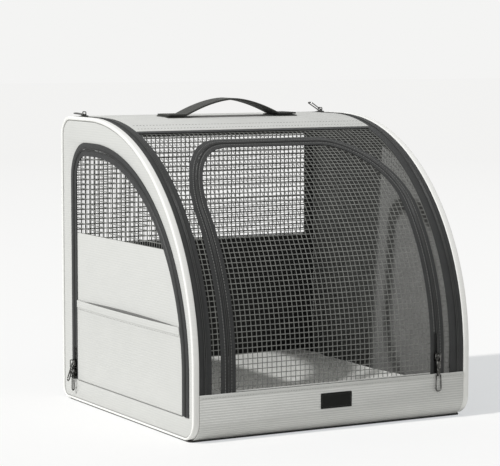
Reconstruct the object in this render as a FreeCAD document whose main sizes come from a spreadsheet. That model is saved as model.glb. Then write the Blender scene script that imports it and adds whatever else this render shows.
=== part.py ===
"""Car pet carrier: a soft-sided box with a curved mesh front, a zipped front door and a zipped side door.

The frame: X to the right, Y to the back, Z up. The origin is on the ground under the middle of the box.
"""
import FreeCAD, Part
import math
import os
import sys
from types import SimpleNamespace

import Sketcher

# Driving sizes in millimetres, angles in degrees.
SIZES = {
    # Shell
    "width": 420,
    "height": 402,
    "canopy_start_height": 90,
    "roof_length": 96,
    "front_foot_radius": 28,
    "back_foot_radius": 16,
    "back_top_radius": 28,
    "shell_wall": 3,
    "lip_height": 62,
    "seam_angle": 72,
    "cut_overrun": 20,
    "clearance": 0.3,
    "door_slack": 0.6,
    # Rims and sides
    "rim_thickness": 9,
    "rim_width": 5,
    "rim_web": 2,
    "rim_round": 2,
    "rim_outer_wall": 1.4,
    "boning_wall": 1.2,
    "boning_width": 4.6,
    "panel_recess": 1.5,
    "panel_wall": 3.8,
    "lining_wall": 1.2,
    "binding_clearance": 0.1,
    "panel_gap": 0.4,
    # Zips
    "tape_depth": 1,
    "tape_wall": 1.2,
    "tape_reach": 10.6,
    "slit_half": 0.6,
    "coil_height": 0.8,
    "coil_reach": 2.8,
    "track_half": 6,
    "arc_slit_inset": 9,
    "arc_tape_reach": 9,
    # Front mesh and its door
    "mesh_wall": 1.2,
    "door_side_gap": 33,
    "door_top_gap": 31.4,
    "door_corner": 84,
    "hem_height": 5,
    "hem_wall": 0.7,
    "front_notch_height": 55,
    "seam_tape_angle": 1.2,
    "mesh_open_share": 0.82,
    "mesh_edge": 1.4,
    "mesh_start_angle": -3.4,
    "mesh_step_angle": 7.3,
    "canopy_gap_angle": 3.4,
    "canopy_gap_edge": 0.5,
    "corner_gap_edge": 4,
    "corner_gap_inset": 18,
    "corner_gap_low": 50.5,
    "corner_gap_step": 7.6,
    "corner_gap_angle": 6.4,
    # Side door
    "side_door_curve_step": 37,
    "side_door_front_inset": 23,
    "side_door_top_gap": 44,
    "side_door_back_inset": 43,
    "side_door_corner": 40,
    "side_door_foot": 32,
    "side_notch_height": 46,
    "side_notch_reach": 6.4,
    "side_window_height": 118,
    "pocket_height": 145,
    "pocket_wall": 1.1,
    "pocket_hem_height": 10,
    "pocket_hem_wall": 0.6,
    "side_net_pitch": 26,
    "net_strand": 5,
    # Back window
    "window_side_gap": 9,
    "window_top_gap": 31,
    "window_height": 157,
    "window_corner": 6,
    "window_binding": 3,
    "window_binding_proud": 0.6,
    "back_net_pitch": 30,
    "net_margin": 2.5,
    # Floor
    "board_wall": 2.5,
    "board_gap": 2,
    "mat_gap": 9,
    "mat_height": 31,
    "mat_corner": 26,
    "mat_waist": 5,
    # Carry handle
    "handle_lead": 12,
    "strap_width": 37,
    "strap_wall": 2.4,
    "strap_half_span": 62,
    "strap_rise": 14,
    "strap_foot_height": 7,
    "patch_start": 68,
    "patch_half_length": 103,
    "patch_wall": 1.6,
    "patch_margin": 0.5,
    "sewn_end_inset": 1.5,
    "sewn_end_start": 73,
    # Label
    "label_width": 47,
    "label_height": 20.5,
    "label_foot": 30,
    "label_wall": 0.8,
    # Zip sliders
    "slider_length": 11,
    "slider_width": 8.4,
    "slider_tail": 5.4,
    "slider_plate": 1.2,
    "slider_web": 0.7,
    "slider_web_length": 4.4,
    "bridge_width": 1.6,
    "bridge_length": 8.6,
    "bridge_post": 1.6,
    "bridge_clear": 2.2,
    "bridge_wall": 1.2,
    "bridge_round": 1.1,
    "arc_slider_park": 14,
    "front_slider_height": 85,
    "side_upper_slider_height": 54,
    "side_lower_slider_height": 41,
    # Pulls
    "pull_wall": 1.2,
    "pull_wire": 1.3,
    "pull_eye_half": 1.6,
    "pull_end_radius": 3.3,
    "arc_pull_length": 32,
    "side_pull_length": 26,
    "left_pull_lift": 2,
    "right_pull_lift": 11,
    "upper_pull_lift": 18,
    "tab_length": 24,
    "tab_eye_length": 5.6,
    "knuckle_radius": 1.6,
    "knuckle_bore": 0.9,
    "knuckle_half": 2.2,
    "loop_length": 23,
    "loop_end_radius": 4,
    "loop_bar": 1,
}

LEFT, RIGHT = -1, 1

# The gaps of the front's mesh are drawn coarse: this many across and up the door.
MESH_COLUMNS = 8
MESH_ROWS = 9

doc = FreeCAD.newDocument("PetCarrier")
nodes = {}


class Size:
    """A size that is a number now and stays a formula on the sheet."""

    def __init__(self, value, text):
        self.value = value
        self.text = text

    def __add__(self, other):
        other = as_size(other)
        return Size(self.value + other.value, f"({self.text} + {other.text})")

    def __sub__(self, other):
        other = as_size(other)
        return Size(self.value - other.value, f"({self.text} - {other.text})")

    def __mul__(self, other):
        other = as_size(other)
        return Size(self.value * other.value, f"({self.text} * {other.text})")

    def __truediv__(self, other):
        other = as_size(other)
        return Size(self.value / other.value, f"({self.text} / {other.text})")

    def __neg__(self):
        return Size(-self.value, f"(-{self.text})")

    def root(self):
        return Size(math.sqrt(self.value), f"sqrt({self.text})")

    def cosine(self):
        return Size(math.cos(math.radians(self.value)), f"cos({self.text})")

    def sine(self):
        return Size(math.sin(math.radians(self.value)), f"sin({self.text})")


def as_size(item):
    """A plain number as a Size."""
    return item if isinstance(item, Size) else Size(float(item), f"{item}")


def make_sheet():
    """The sheet of driving sizes, read back as Sizes."""
    sheet = doc.addObject("Spreadsheet::Sheet", "Sizes")
    for row, (name, number) in enumerate(SIZES.items(), start=1):
        sheet.set(f"A{row}", name)
        sheet.set(f"B{row}", str(number))
        sheet.setAlias(f"B{row}", name)
    doc.recompute()
    return SimpleNamespace(**{name: Size(float(sheet.get(name)), f"Sizes.{name}") for name in SIZES})


d = make_sheet()
ZERO = as_size(0)

# Places that several pieces share.
# The front curve is a quarter circle, so the depth follows from the height and the flat part of the roof.
canopy_radius = d.height - d.canopy_start_height
depth = canopy_radius + d.roof_length
half_width = d.width / 2
front = -(depth / 2)
back = depth / 2
arc_y = front + canopy_radius
arc_z = d.canopy_start_height
roof_end = back - d.back_top_radius
rim_inside = half_width - d.rim_thickness
arc_slit = rim_inside - d.arc_slit_inset
tape_back = d.tape_depth + d.tape_wall
mesh_back = tape_back + d.mesh_wall
canopy_half = arc_slit - d.track_half
top_half = arc_slit - d.arc_tape_reach
lining_depth = d.panel_recess + d.panel_wall
panel_inset = d.rim_web + d.boning_wall + d.panel_gap
door_half = arc_slit - d.door_side_gap
door_top = d.height - d.door_top_gap
# How far a step along the front curve rises at the door's top.
door_rise = (door_top - arc_z) / canopy_radius
door_slope = (as_size(1) - door_rise * door_rise).root()
side_tape_face = d.panel_recess - d.tape_wall
side_radius = canopy_radius - d.side_door_curve_step
side_centre_y = front + d.side_door_front_inset + side_radius
side_top = d.height - d.side_door_top_gap
side_centre_z = side_top - side_radius
side_slit = back - d.side_door_back_inset
side_sill = side_top - d.side_window_height
window_half = rim_inside - d.window_side_gap
window_top = d.height - d.window_top_gap
window_bottom = window_top - d.window_height


def bind(target, path, size):
    """Set a property by its formula on the sheet."""
    target.setExpression(path, as_size(size).text)


def keep(name, item):
    """Make a piece a node of its own."""
    item.Label = name
    nodes[name] = item
    return item


def corner(x, y, radius=None, turn=1):
    """A corner of an outline; the edge that leaves it is an arc if it has a radius, left for turn 1."""
    return SimpleNamespace(x=as_size(x), y=as_size(y), radius=radius, turn=turn)


def arc_edge(start, end):
    """The arc between two corners, always drawn anticlockwise."""
    first, last = (start, end) if start.turn > 0 else (end, start)
    a = FreeCAD.Vector(first.x.value, first.y.value, 0)
    b = FreeCAD.Vector(last.x.value, last.y.value, 0)
    radius = start.radius.value
    chord = b - a
    reach = math.sqrt(max(radius**2 - (chord.Length / 2) ** 2, 0))
    inward = FreeCAD.Vector(-chord.y, chord.x, 0).normalize()
    centre = (a + b) / 2 + inward * reach
    circle = Part.Circle(centre, FreeCAD.Vector(0, 0, 1), radius)
    begin = math.atan2(a.y - centre.y, a.x - centre.x)
    finish = math.atan2(b.y - centre.y, b.x - centre.x)
    return Part.ArcOfCircle(circle, begin, finish if finish > begin else finish + math.tau)


def draw(sketch, corners):
    """Draw one closed outline on a sketch, with every corner and radius bound to the sheet."""
    edges = []
    for index, start in enumerate(corners):
        end = corners[(index + 1) % len(corners)]
        if start.radius is None:
            a = FreeCAD.Vector(start.x.value, start.y.value, 0)
            b = FreeCAD.Vector(end.x.value, end.y.value, 0)
            edges.append((sketch.addGeometry(Part.LineSegment(a, b)), 1, 2))
        else:
            ends = (1, 2) if start.turn > 0 else (2, 1)
            edges.append((sketch.addGeometry(arc_edge(start, end)), *ends))
    for index, (edge, _, finish) in enumerate(edges):
        following, begin, _ = edges[(index + 1) % len(edges)]
        sketch.addConstraint(Sketcher.Constraint("Coincident", edge, finish, following, begin))
    for start, (edge, begin, _) in zip(corners, edges):
        for kind, size in (("DistanceX", start.x), ("DistanceY", start.y)):
            place = sketch.addConstraint(Sketcher.Constraint(kind, -1, 1, edge, begin, size.value))
            bind(sketch, f"Constraints[{place}]", size)
        if start.radius is not None:
            place = sketch.addConstraint(Sketcher.Constraint("Radius", edge, start.radius.value))
            bind(sketch, f"Constraints[{place}]", start.radius)


def add_sketch(body, name, plane, outlines, start):
    """A sketch of closed outlines on one of the body's own planes, moved along the plane's normal."""
    sketch = body.newObject("Sketcher::SketchObject", f"{name}_sketch")
    origin_plane = [item for item in body.Origin.OriginFeatures if item.Role == f"{plane}_Plane"][0]
    sketch.AttachmentSupport = [(origin_plane, "")]
    sketch.MapMode = "FlatFace"
    for outline in outlines:
        draw(sketch, outline)
    bind(sketch, "AttachmentOffset.Base.z", start)
    return sketch


def add_pad(body, name, plane, outlines, start, length):
    """Pad closed outlines from start by length along the plane's normal."""
    pad = body.newObject("PartDesign::Pad", f"{name}_pad")
    pad.Profile = add_sketch(body, name, plane, outlines, start)
    bind(pad, "Length", length)
    body.Tip = pad
    return pad


def padded(name, plane, outlines, start, length):
    """A body of one pad."""
    body = doc.addObject("PartDesign::Body", name)
    add_pad(body, name, plane, outlines, start, length)
    return body


def common(name, first, second):
    """What two solids share."""
    result = doc.addObject("Part::Common", name)
    result.Base = first
    result.Tool = second
    return result


def cut(name, base, tool):
    """One solid less another."""
    result = doc.addObject("Part::Cut", name)
    result.Base = base
    result.Tool = tool
    return result


def group(name, items):
    """Several solids of one node."""
    result = doc.addObject("Part::Compound", name)
    result.Links = items
    return result


def mirrored(source, name):
    """A mirror image of a solid across the plane X = 0."""
    result = doc.addObject("Part::Mirroring", name)
    result.Source = source
    result.Normal = FreeCAD.Vector(1, 0, 0)
    return result


def rectangle(x0, x1, y0, y1, radius=None):
    """A rectangle's corners, rounded alike if it has a radius."""
    if radius is None:
        return [corner(x0, y0), corner(x1, y0), corner(x1, y1), corner(x0, y1)]
    return [
        corner(x0 + radius, y0),
        corner(x1 - radius, y0, radius),
        corner(x1, y0 + radius),
        corner(x1, y1 - radius, radius),
        corner(x1 - radius, y1),
        corner(x0 + radius, y1, radius),
        corner(x0, y1 - radius),
        corner(x0, y0 + radius, radius),
    ]


# Side profile


def side_outline(inset):
    """The carrier's side profile in Y and Z, drawn in all round by an inset."""
    foot = d.front_foot_radius - inset
    heel = d.back_foot_radius - inset
    crown = d.back_top_radius - inset
    top = d.height - inset
    return [
        corner(front + d.front_foot_radius, inset),
        corner(back - d.back_foot_radius, inset, heel),
        corner(back - inset, d.back_foot_radius),
        corner(back - inset, d.height - d.back_top_radius, crown),
        corner(back - d.back_top_radius, top),
        corner(arc_y, top, canopy_radius - inset),
        corner(front + inset, arc_z),
        corner(front + inset, d.front_foot_radius, foot),
    ]


def side_plate(name, side, outlines, depth, wall):
    """A plate on one side of the carrier, at a depth from the rim's outer face."""
    start = depth - half_width if side == LEFT else half_width - depth - wall
    return padded(name, "YZ", outlines, start, wall)


def side_name(side):
    """The word for a side, for the names of its pieces."""
    return "left" if side == LEFT else "right"


def make_rim(side):
    """The white rim: a binding folded round the side panel's edge, with a rounded outer edge."""
    name = f"{side_name(side)}_rim"
    rings = [side_outline(ZERO), side_outline(d.rim_width)]
    body = side_plate(f"{name}_binding", side, rings, ZERO, d.rim_thickness)
    doc.recompute()
    pad = body.Tip
    outer_face = max(pad.Shape.Faces, key=lambda face: face.CenterOfMass.x * side)
    outer_edges = outer_face.OuterWire.Edges
    names = [
        f"Edge{number}"
        for number, edge in enumerate(pad.Shape.Edges, start=1)
        if any(edge.isSame(other) for other in outer_edges)
    ]
    fillet = body.newObject("PartDesign::Fillet", f"{name}_round")
    fillet.Base = (pad, names)
    bind(fillet, "Radius", d.rim_round)
    body.Tip = fillet
    channel_wall = lining_depth + d.lining_wall + d.binding_clearance - d.rim_outer_wall
    channel_rings = [side_outline(d.rim_web), side_outline(d.rim_width + d.shell_wall)]
    channel = side_plate(f"{name}_channel", side, channel_rings, d.rim_outer_wall, channel_wall)
    keep(name, cut(f"{name}_solid", body, channel))


def make_boning(side):
    """The springy flat strip that keeps the rim in shape, in the rim's fold."""
    name = f"{side_name(side)}_rim_boning"
    inset = d.rim_web + d.binding_clearance
    rings = [side_outline(inset), side_outline(inset + d.boning_wall)]
    keep(name, side_plate(name, side, rings, d.rim_outer_wall + d.binding_clearance, d.boning_width))


# Side door


def side_door_outline(offset, foot):
    """The side door's zip line in Y and Z, grown by an offset, down to a height."""
    radius = side_radius + offset
    top = side_top + offset
    rear = side_slit + offset
    bend = d.side_door_corner + offset
    return [
        corner(side_centre_y - radius, foot),
        corner(rear, foot),
        corner(rear, top - bend, bend),
        corner(rear - bend, top),
        corner(side_centre_y, top, radius),
        corner(side_centre_y - radius, side_centre_z),
    ]


def side_arch(name, outer, inner, depth, wall, foot=None):
    """A ∩-shaped strip along the side door's zip, open at the foot."""
    foot = d.side_door_foot if foot is None else foot
    plate = side_plate(f"{name}_plate", LEFT, [side_door_outline(outer, foot)], depth, wall)
    hole_outline = side_door_outline(inner, foot - d.cut_overrun)
    through = wall + d.cut_overrun * 2
    hole = side_plate(f"{name}_hole", LEFT, [hole_outline], depth - d.cut_overrun, through)
    return cut(f"{name}_arch", plate, hole)


def side_notch(name, item):
    """Cut the room for the parked sliders out of a strip on the door."""
    foot = d.side_door_foot - d.cut_overrun
    top = d.side_door_foot + d.side_notch_height
    room = rectangle(side_slit - d.side_notch_reach, side_slit + d.cut_overrun, foot, top)
    tool = side_plate(f"{name}_room", LEFT, [room], -d.cut_overrun, d.cut_overrun * 2)
    return cut(f"{name}_notched", item, tool)


def make_side_panels():
    """The two stiff side panels and their linings; the left one has the door's opening."""
    for side in (LEFT, RIGHT):
        name = side_name(side)
        outlines = [side_outline(panel_inset)]
        if side == LEFT:
            outlines.append(side_door_outline(d.track_half, d.side_door_foot))
        panel = f"{name}_side_panel"
        keep(panel, side_plate(panel, side, outlines, d.panel_recess, d.panel_wall))
        lining = f"{name}_side_lining"
        keep(lining, side_plate(lining, side, outlines, lining_depth, d.lining_wall))


def make_side_zip():
    """The side door's two tapes and the two rows of coil along the slit between them."""
    tape_face = side_tape_face
    coil_face = tape_face - d.coil_height
    outer = side_arch("side_outer_tape", d.tape_reach, d.slit_half, tape_face, d.tape_wall)
    keep("side_door_outer_tape", outer)
    outer_coil = side_arch("side_outer_coil", d.coil_reach, d.slit_half, coil_face, d.coil_height)
    keep("side_door_outer_coil", outer_coil)
    foot = d.side_door_foot + d.door_slack
    tape = side_arch("side_inner_tape", -d.slit_half, -d.tape_reach, tape_face, d.tape_wall, foot)
    keep("side_door_inner_tape", side_notch("side_inner_tape", tape))
    coil = side_arch("side_inner_coil", -d.slit_half, -d.coil_reach, coil_face, d.coil_height, foot)
    keep("side_door_inner_coil", side_notch("side_inner_coil", coil))


def make_side_door():
    """The side door: a stiff flap, a net window above it and a flat pocket on its outside."""
    foot = d.side_door_foot + d.door_slack
    flap_outline = side_door_outline(-d.track_half, foot)
    plate = side_plate("side_flap_plate", LEFT, [flap_outline], d.panel_recess, d.panel_wall)
    upper = rectangle(front, back, side_sill, side_top + d.cut_overrun)
    tool = side_plate("side_flap_window", LEFT, [upper], ZERO, d.cut_overrun)
    keep("side_door_panel", side_notch("side_flap", cut("side_flap", plate, tool)))
    pocket_outline = side_door_outline(-(d.tape_reach + d.clearance), foot)
    hem_foot = d.pocket_height - d.pocket_hem_height
    layers = (
        ("side_door_pocket", foot, hem_foot, d.pocket_wall),
        ("side_door_pocket_hem", hem_foot, d.pocket_height, d.pocket_wall + d.pocket_hem_wall),
    )
    for name, low, high, wall in layers:
        sheet = side_plate(f"{name}_sheet", LEFT, [pocket_outline], d.panel_recess - wall, wall)
        stripe = rectangle(front, back, low, high)
        band = side_plate(f"{name}_band", LEFT, [stripe], -d.cut_overrun, d.cut_overrun * 2)
        keep(name, common(f"{name}_solid", sheet, band))


def net_solid(outer_wire, inside, across, up, pitch, strand, thrust):
    """A flat net: one face with a grid of square gaps, given its thickness."""
    gap = pitch - strand
    wires = [outer_wire]
    for u in across:
        for v in up:
            corners = [(u, v), (u + gap, v), (u + gap, v + gap), (u, v + gap)]
            if all(inside(*place) for place in corners):
                wires.append(Part.makePolygon([thrust.at(*place) for place in (*corners, corners[0])]))
    return Part.makeFace(wires, "Part::FaceMakerBullseye").extrude(thrust.way)


def grid(low, high, pitch, strand):
    """Where the gaps of a net start, centred between two limits."""
    count = int((high - low - strand) / pitch)
    first = (low + high - count * pitch + strand) / 2
    return [first + pitch * step for step in range(count)]


def wire_of(corners, at):
    """A closed wire through an outline's corners, placed by a function of its two coordinates."""
    edges = []
    for index, start in enumerate(corners):
        end = corners[(index + 1) % len(corners)]
        if start.radius is None:
            edges.append(Part.makeLine(at(start.x.value, start.y.value), at(end.x.value, end.y.value)))
        else:
            arc = arc_edge(start, end)
            middle = arc.value((arc.FirstParameter + arc.LastParameter) / 2)
            ends = (at(start.x.value, start.y.value), at(middle.x, middle.y), at(end.x.value, end.y.value))
            edges.append(Part.Arc(*ends).toShape())
    return Part.Wire(edges)


def make_side_net():
    """The flat net of the side door's window."""
    offset = -d.track_half
    radius = side_radius + offset
    margin = (d.tape_reach - d.track_half).value
    centre_y = side_centre_y.value
    centre_z = side_centre_z.value
    sill = side_sill.value
    rear = (side_slit + offset).value
    top = (side_top + offset).value
    bend = (d.side_door_corner + offset).value
    start = centre_y - math.sqrt(radius.value**2 - (sill - centre_z) ** 2)
    x = (d.panel_recess - half_width).value
    wall = FreeCAD.Vector(d.mesh_wall.value, 0, 0)
    thrust = SimpleNamespace(at=lambda y, z: FreeCAD.Vector(x, y, z), way=wall)
    curve_start = corner(side_centre_y, top, radius)
    outline = [corner(start, sill), *side_door_outline(offset, side_sill)[1:4], curve_start]
    wire = wire_of(outline, thrust.at)

    def inside(y, z):
        """Whether a gap's corner keeps off the tape round the window."""
        in_arc = y > centre_y or math.hypot(y - centre_y, z - centre_z) < radius.value - margin
        by_y = max(y - (rear - bend), 0)
        by_z = max(z - (top - bend), 0)
        in_bend = math.hypot(by_y, by_z) < bend - margin
        return in_arc and in_bend and z < top - margin and y < rear - margin

    pitch = d.side_net_pitch.value
    strand = d.net_strand.value
    across = grid(start, rear - margin, pitch, strand)
    up = grid(sill, top - margin, pitch, strand)
    item = doc.addObject("Part::Feature", "side_net")
    item.Shape = net_solid(wire, inside, across, up, pitch, strand, thrust)
    keep("side_door_net", item)


# Front sheets


def front_strip(outer, inner, low, angle):
    """A strip in Y and Z that follows the front between two depths, up to an angle on its curve."""
    outer_radius = canopy_radius - outer
    inner_radius = canopy_radius - inner
    return [
        corner(front + outer, low),
        corner(front + outer, arc_z, outer_radius, -1),
        corner(arc_y - outer_radius * angle.cosine(), arc_z + outer_radius * angle.sine()),
        corner(arc_y - inner_radius * angle.cosine(), arc_z + inner_radius * angle.sine(), inner_radius),
        corner(front + inner, arc_z),
        corner(front + inner, low),
    ]


def front_sheet(name, half, outer, inner, low):
    """A curved sheet across the front, up to the seam of the top panel."""
    return padded(name, "YZ", [front_strip(outer, inner, low, d.seam_angle)], -half, half * 2)


def door_outline(offset, foot):
    """The front door's zip line seen from the front, grown by an offset along the curved front."""
    half = door_half + offset
    top = door_top + offset * door_slope
    bend = d.door_corner + offset * (door_slope + 1) / 2
    return [
        corner(-half, foot),
        corner(half, foot),
        corner(half, top - bend, bend),
        corner(half - bend, top),
        corner(bend - half, top, bend),
        corner(-half, top - bend),
    ]


def door_block(name, offset, foot):
    """The front door's outline, run from the front right through the canopy."""
    return padded(name, "XZ", [door_outline(offset, foot)], -arc_y, canopy_radius + d.cut_overrun)


def front_arch(name, outer, inner, face, rear, foot):
    """A ∩-shaped strip along the front door's zip, on the curved front."""
    sheet = front_sheet(f"{name}_sheet", door_half + outer + d.cut_overrun, face, rear, foot)
    outer_block = door_block(f"{name}_outer", outer, foot - d.cut_overrun)
    inner_block = door_block(f"{name}_inner", inner, foot - d.cut_overrun * 2)
    return cut(f"{name}_arch", common(f"{name}_outside", sheet, outer_block), inner_block)


def front_notch(name, item):
    """Cut the room for the parked slider and its pull out of a strip on the door."""
    foot = d.lip_height - d.cut_overrun
    side = door_half - d.tape_reach - d.clearance
    room = rectangle(side, half_width, foot, d.lip_height + d.front_notch_height)
    tool = padded(f"{name}_room", "XZ", [room], -arc_y, canopy_radius + d.cut_overrun)
    return cut(f"{name}_notched", item, tool)


def front_box(name, x0, x1, low, high):
    """A block between two places across and two angles on the front curve, run through the canopy."""
    room = rectangle(x0, x1, arc_z + canopy_radius * low.sine(), arc_z + canopy_radius * high.sine())
    return padded(name, "XZ", [room], -arc_y, canopy_radius + d.cut_overrun)


def columns_of(name, half, count, low, high):
    """Evenly spaced blocks across the front, between two angles on its curve."""
    pitch = half * 2 / count
    gap = pitch * d.mesh_open_share
    start = (pitch - gap) / 2 - half
    blocks = []
    for index in range(count):
        left = start + pitch * index
        blocks.append(front_box(f"{name}_{index}", left, left + gap, low, high))
    return blocks


def door_gaps():
    """The coarse grid of gaps in the door's mesh, inside the tape round it."""
    reach = d.tape_reach + d.mesh_edge
    columns = columns_of("door_column", door_half - reach, MESH_COLUMNS, d.mesh_start_angle, d.seam_angle)
    rows = []
    for index in range(MESH_ROWS):
        low = d.mesh_start_angle + d.mesh_step_angle * index
        high = low + d.mesh_step_angle * d.mesh_open_share
        rows.append(front_box(f"door_row_{index}", -door_half, door_half, low, high))
    cells = common("door_cells", group("door_columns", columns), group("door_rows", rows))
    return common("door_gaps", cells, door_block("door_inside", -reach, d.lip_height))


def canopy_gaps():
    """The coarse gaps in the fixed mesh: a row over the door and two at each of its corners."""
    high = d.seam_angle - d.seam_tape_angle - d.canopy_gap_edge
    outer = top_half - d.corner_gap_edge
    blocks = columns_of("canopy_gap", outer, MESH_COLUMNS, high - d.canopy_gap_angle, high)
    inner = (door_half + d.mesh_edge, door_half - d.corner_gap_inset)
    for index, near in enumerate(inner):
        low = d.corner_gap_low + d.corner_gap_step * index
        block = front_box(f"corner_gap_{index}", near, outer, low, low + d.corner_gap_angle)
        blocks += [block, mirrored(block, f"corner_gap_{index}_left")]
    return group("canopy_gaps", blocks)


def make_canopy():
    """The fixed mesh round the door, and the tape over its seam with the top panel."""
    sheet = front_sheet("canopy_sheet", canopy_half, tape_back, mesh_back, d.lip_height)
    hole = door_block("canopy_hole", d.track_half, d.lip_height - d.cut_overrun)
    keep("canopy_mesh", cut("canopy", cut("canopy_plain", sheet, hole), canopy_gaps()))
    tape_low = d.seam_angle - d.seam_tape_angle
    strip = front_strip(d.tape_depth, tape_back, d.lip_height, d.seam_angle)
    rest = front_strip(ZERO, mesh_back, d.lip_height - d.cut_overrun, tape_low)
    whole = padded("seam_tape_whole", "YZ", [strip], -top_half, top_half * 2)
    below = padded("seam_tape_below", "YZ", [rest], -half_width, half_width * 2)
    keep("top_seam_tape", cut("seam_tape", whole, below))


def make_front_zip():
    """The front door's two tapes and two rows of coil."""
    low = d.lip_height
    coil_face = d.tape_depth - d.coil_height
    outer = front_arch("front_outer_tape", d.tape_reach, d.slit_half, d.tape_depth, tape_back, low)
    keep("front_door_outer_tape", outer)
    outer_coil = front_arch("front_outer_coil", d.coil_reach, d.slit_half, coil_face, d.tape_depth, low)
    keep("front_door_outer_coil", outer_coil)
    foot = low + d.door_slack
    inner = front_arch("front_inner_tape", -d.slit_half, -d.tape_reach, d.tape_depth, tape_back, foot)
    keep("front_door_inner_tape", front_notch("front_inner_tape", inner))
    inner_coil = front_arch("front_inner_coil", -d.slit_half, -d.coil_reach, coil_face, d.tape_depth, foot)
    keep("front_door_inner_coil", front_notch("front_inner_coil", inner_coil))


def make_front_door():
    """The front door's mesh and the hem along its hinged foot."""
    foot = d.lip_height + d.door_slack
    sheet = front_sheet("door_sheet", door_half - d.track_half, tape_back, mesh_back, foot)
    block = door_block("door_block", -d.track_half, foot - d.cut_overrun)
    keep("front_door_mesh", cut("door_net", common("door_mesh", sheet, block), door_gaps()))
    hem_half = door_half - d.tape_reach - d.clearance
    strip = rectangle(front + tape_back - d.hem_wall, front + tape_back, foot, foot + d.hem_height)
    keep("front_door_hem", padded("front_door_hem", "YZ", [strip], -hem_half, hem_half * 2))


# Zips along the sides of the canopy


def arc_strip(outer, inner, low, end):
    """A strip in Y and Z that follows the front and the top between two depths."""
    return [
        corner(front + outer, low),
        corner(front + outer, arc_z, canopy_radius - outer, -1),
        corner(arc_y, d.height - outer),
        corner(end, d.height - outer),
        corner(end, d.height - inner),
        corner(arc_y, d.height - inner, canopy_radius - inner),
        corner(front + inner, arc_z),
        corner(front + inner, low),
    ]


def make_arc_zips():
    """The long zip along each side of the curved front: two tapes and two rows of coil."""
    coil_face = d.tape_depth - d.coil_height
    tape = arc_strip(d.tape_depth, tape_back, d.lip_height, roof_end)
    coil = arc_strip(coil_face, d.tape_depth, d.lip_height, roof_end)
    coil_wide = d.coil_reach - d.slit_half
    for side in (LEFT, RIGHT):
        name = side_name(side)
        outer_from = arc_slit + d.slit_half
        inner_from = arc_slit - d.slit_half
        spans = (
            (f"{name}_arc_outer_tape", tape, outer_from, rim_inside),
            (f"{name}_arc_inner_tape", tape, top_half, inner_from),
            (f"{name}_arc_outer_row", coil, outer_from, outer_from + coil_wide),
            (f"{name}_arc_inner_row", coil, inner_from - coil_wide, inner_from),
        )
        strips = {}
        for label, outline, low, high in spans:
            start = -high if side == LEFT else low
            strips[label] = padded(label, "YZ", [outline], start, high - low)
        keep(f"{name}_arc_outer_tape", strips[f"{name}_arc_outer_tape"])
        keep(f"{name}_arc_inner_tape", strips[f"{name}_arc_inner_tape"])
        rows = [strips[f"{name}_arc_outer_row"], strips[f"{name}_arc_inner_row"]]
        keep(f"{name}_arc_coils", group(f"{name}_arc_coils", rows))


# Floor, back and top


def make_base():
    """The floor sheet, bent up into the front lip and into the foot of the back."""
    wall = d.shell_wall
    outline = [
        corner(front + d.front_foot_radius, ZERO),
        corner(back - d.back_foot_radius, ZERO, d.back_foot_radius),
        corner(back, d.back_foot_radius),
        corner(back - wall, d.back_foot_radius, d.back_foot_radius - wall, -1),
        corner(back - d.back_foot_radius, wall),
        corner(front + d.front_foot_radius, wall, d.front_foot_radius - wall, -1),
        corner(front + wall, d.front_foot_radius),
        corner(front + wall, d.lip_height),
        corner(front, d.lip_height),
        corner(front, d.front_foot_radius, d.front_foot_radius),
    ]
    keep("base_tray", padded("base_tray", "YZ", [outline], -rim_inside, rim_inside * 2))
    half = rim_inside - d.board_gap
    low = front + d.front_foot_radius
    high = back - d.back_foot_radius
    board = padded("floor_board", "XY", [rectangle(-half, half, low, high)], wall, d.board_wall)
    keep("floor_board", board)


def window_outline(offset):
    """The back window, grown by an offset."""
    half = window_half + offset
    return rectangle(-half, half, window_bottom - offset, window_top + offset, d.window_corner + offset)


def make_back():
    """The back panel with its bend into the top, its window, lining, net and binding."""
    wall = d.shell_wall
    crown = d.back_top_radius
    outline = [
        corner(back, d.back_foot_radius),
        corner(back, d.height - crown, crown),
        corner(back - crown, d.height),
        corner(back - crown, d.height - wall, crown - wall, -1),
        corner(back - wall, d.height - crown),
        corner(back - wall, d.back_foot_radius),
    ]
    sheet = padded("back_sheet", "YZ", [outline], -rim_inside, rim_inside * 2)
    hole = padded("back_hole", "XZ", [window_outline(ZERO)], -back - d.cut_overrun, d.cut_overrun * 2)
    keep("back_panel", cut("back", sheet, hole))
    half = rim_inside - d.board_gap
    lining_face = back - wall - d.mesh_wall
    plate = rectangle(-half, half, d.back_foot_radius, d.height - crown)
    lining = padded("back_lining", "XZ", [plate, window_outline(ZERO)], -lining_face, d.lining_wall)
    keep("back_lining", lining)
    rings = [window_outline(ZERO), window_outline(-d.window_binding)]
    proud = d.window_binding_proud
    keep("back_window_binding", padded("back_window_binding", "XZ", rings, -back - proud, wall + proud))
    rim = window_outline(d.net_margin)
    y = (back - wall).value
    depth_in = FreeCAD.Vector(0, -d.mesh_wall.value, 0)
    thrust = SimpleNamespace(at=lambda x, z: FreeCAD.Vector(x, y, z), way=depth_in)
    reach = (window_half - d.window_binding).value
    low = (window_bottom + d.window_binding).value
    high = (window_top - d.window_binding).value
    pitch = d.back_net_pitch.value
    strand = d.net_strand.value
    item = doc.addObject("Part::Feature", "back_net")
    across = grid(-reach, reach, pitch, strand)
    up = grid(low, high, pitch, strand)
    wire = wire_of(rim, thrust.at)
    item.Shape = net_solid(wire, lambda x, z: True, across, up, pitch, strand, thrust)
    keep("back_window_net", item)


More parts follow.
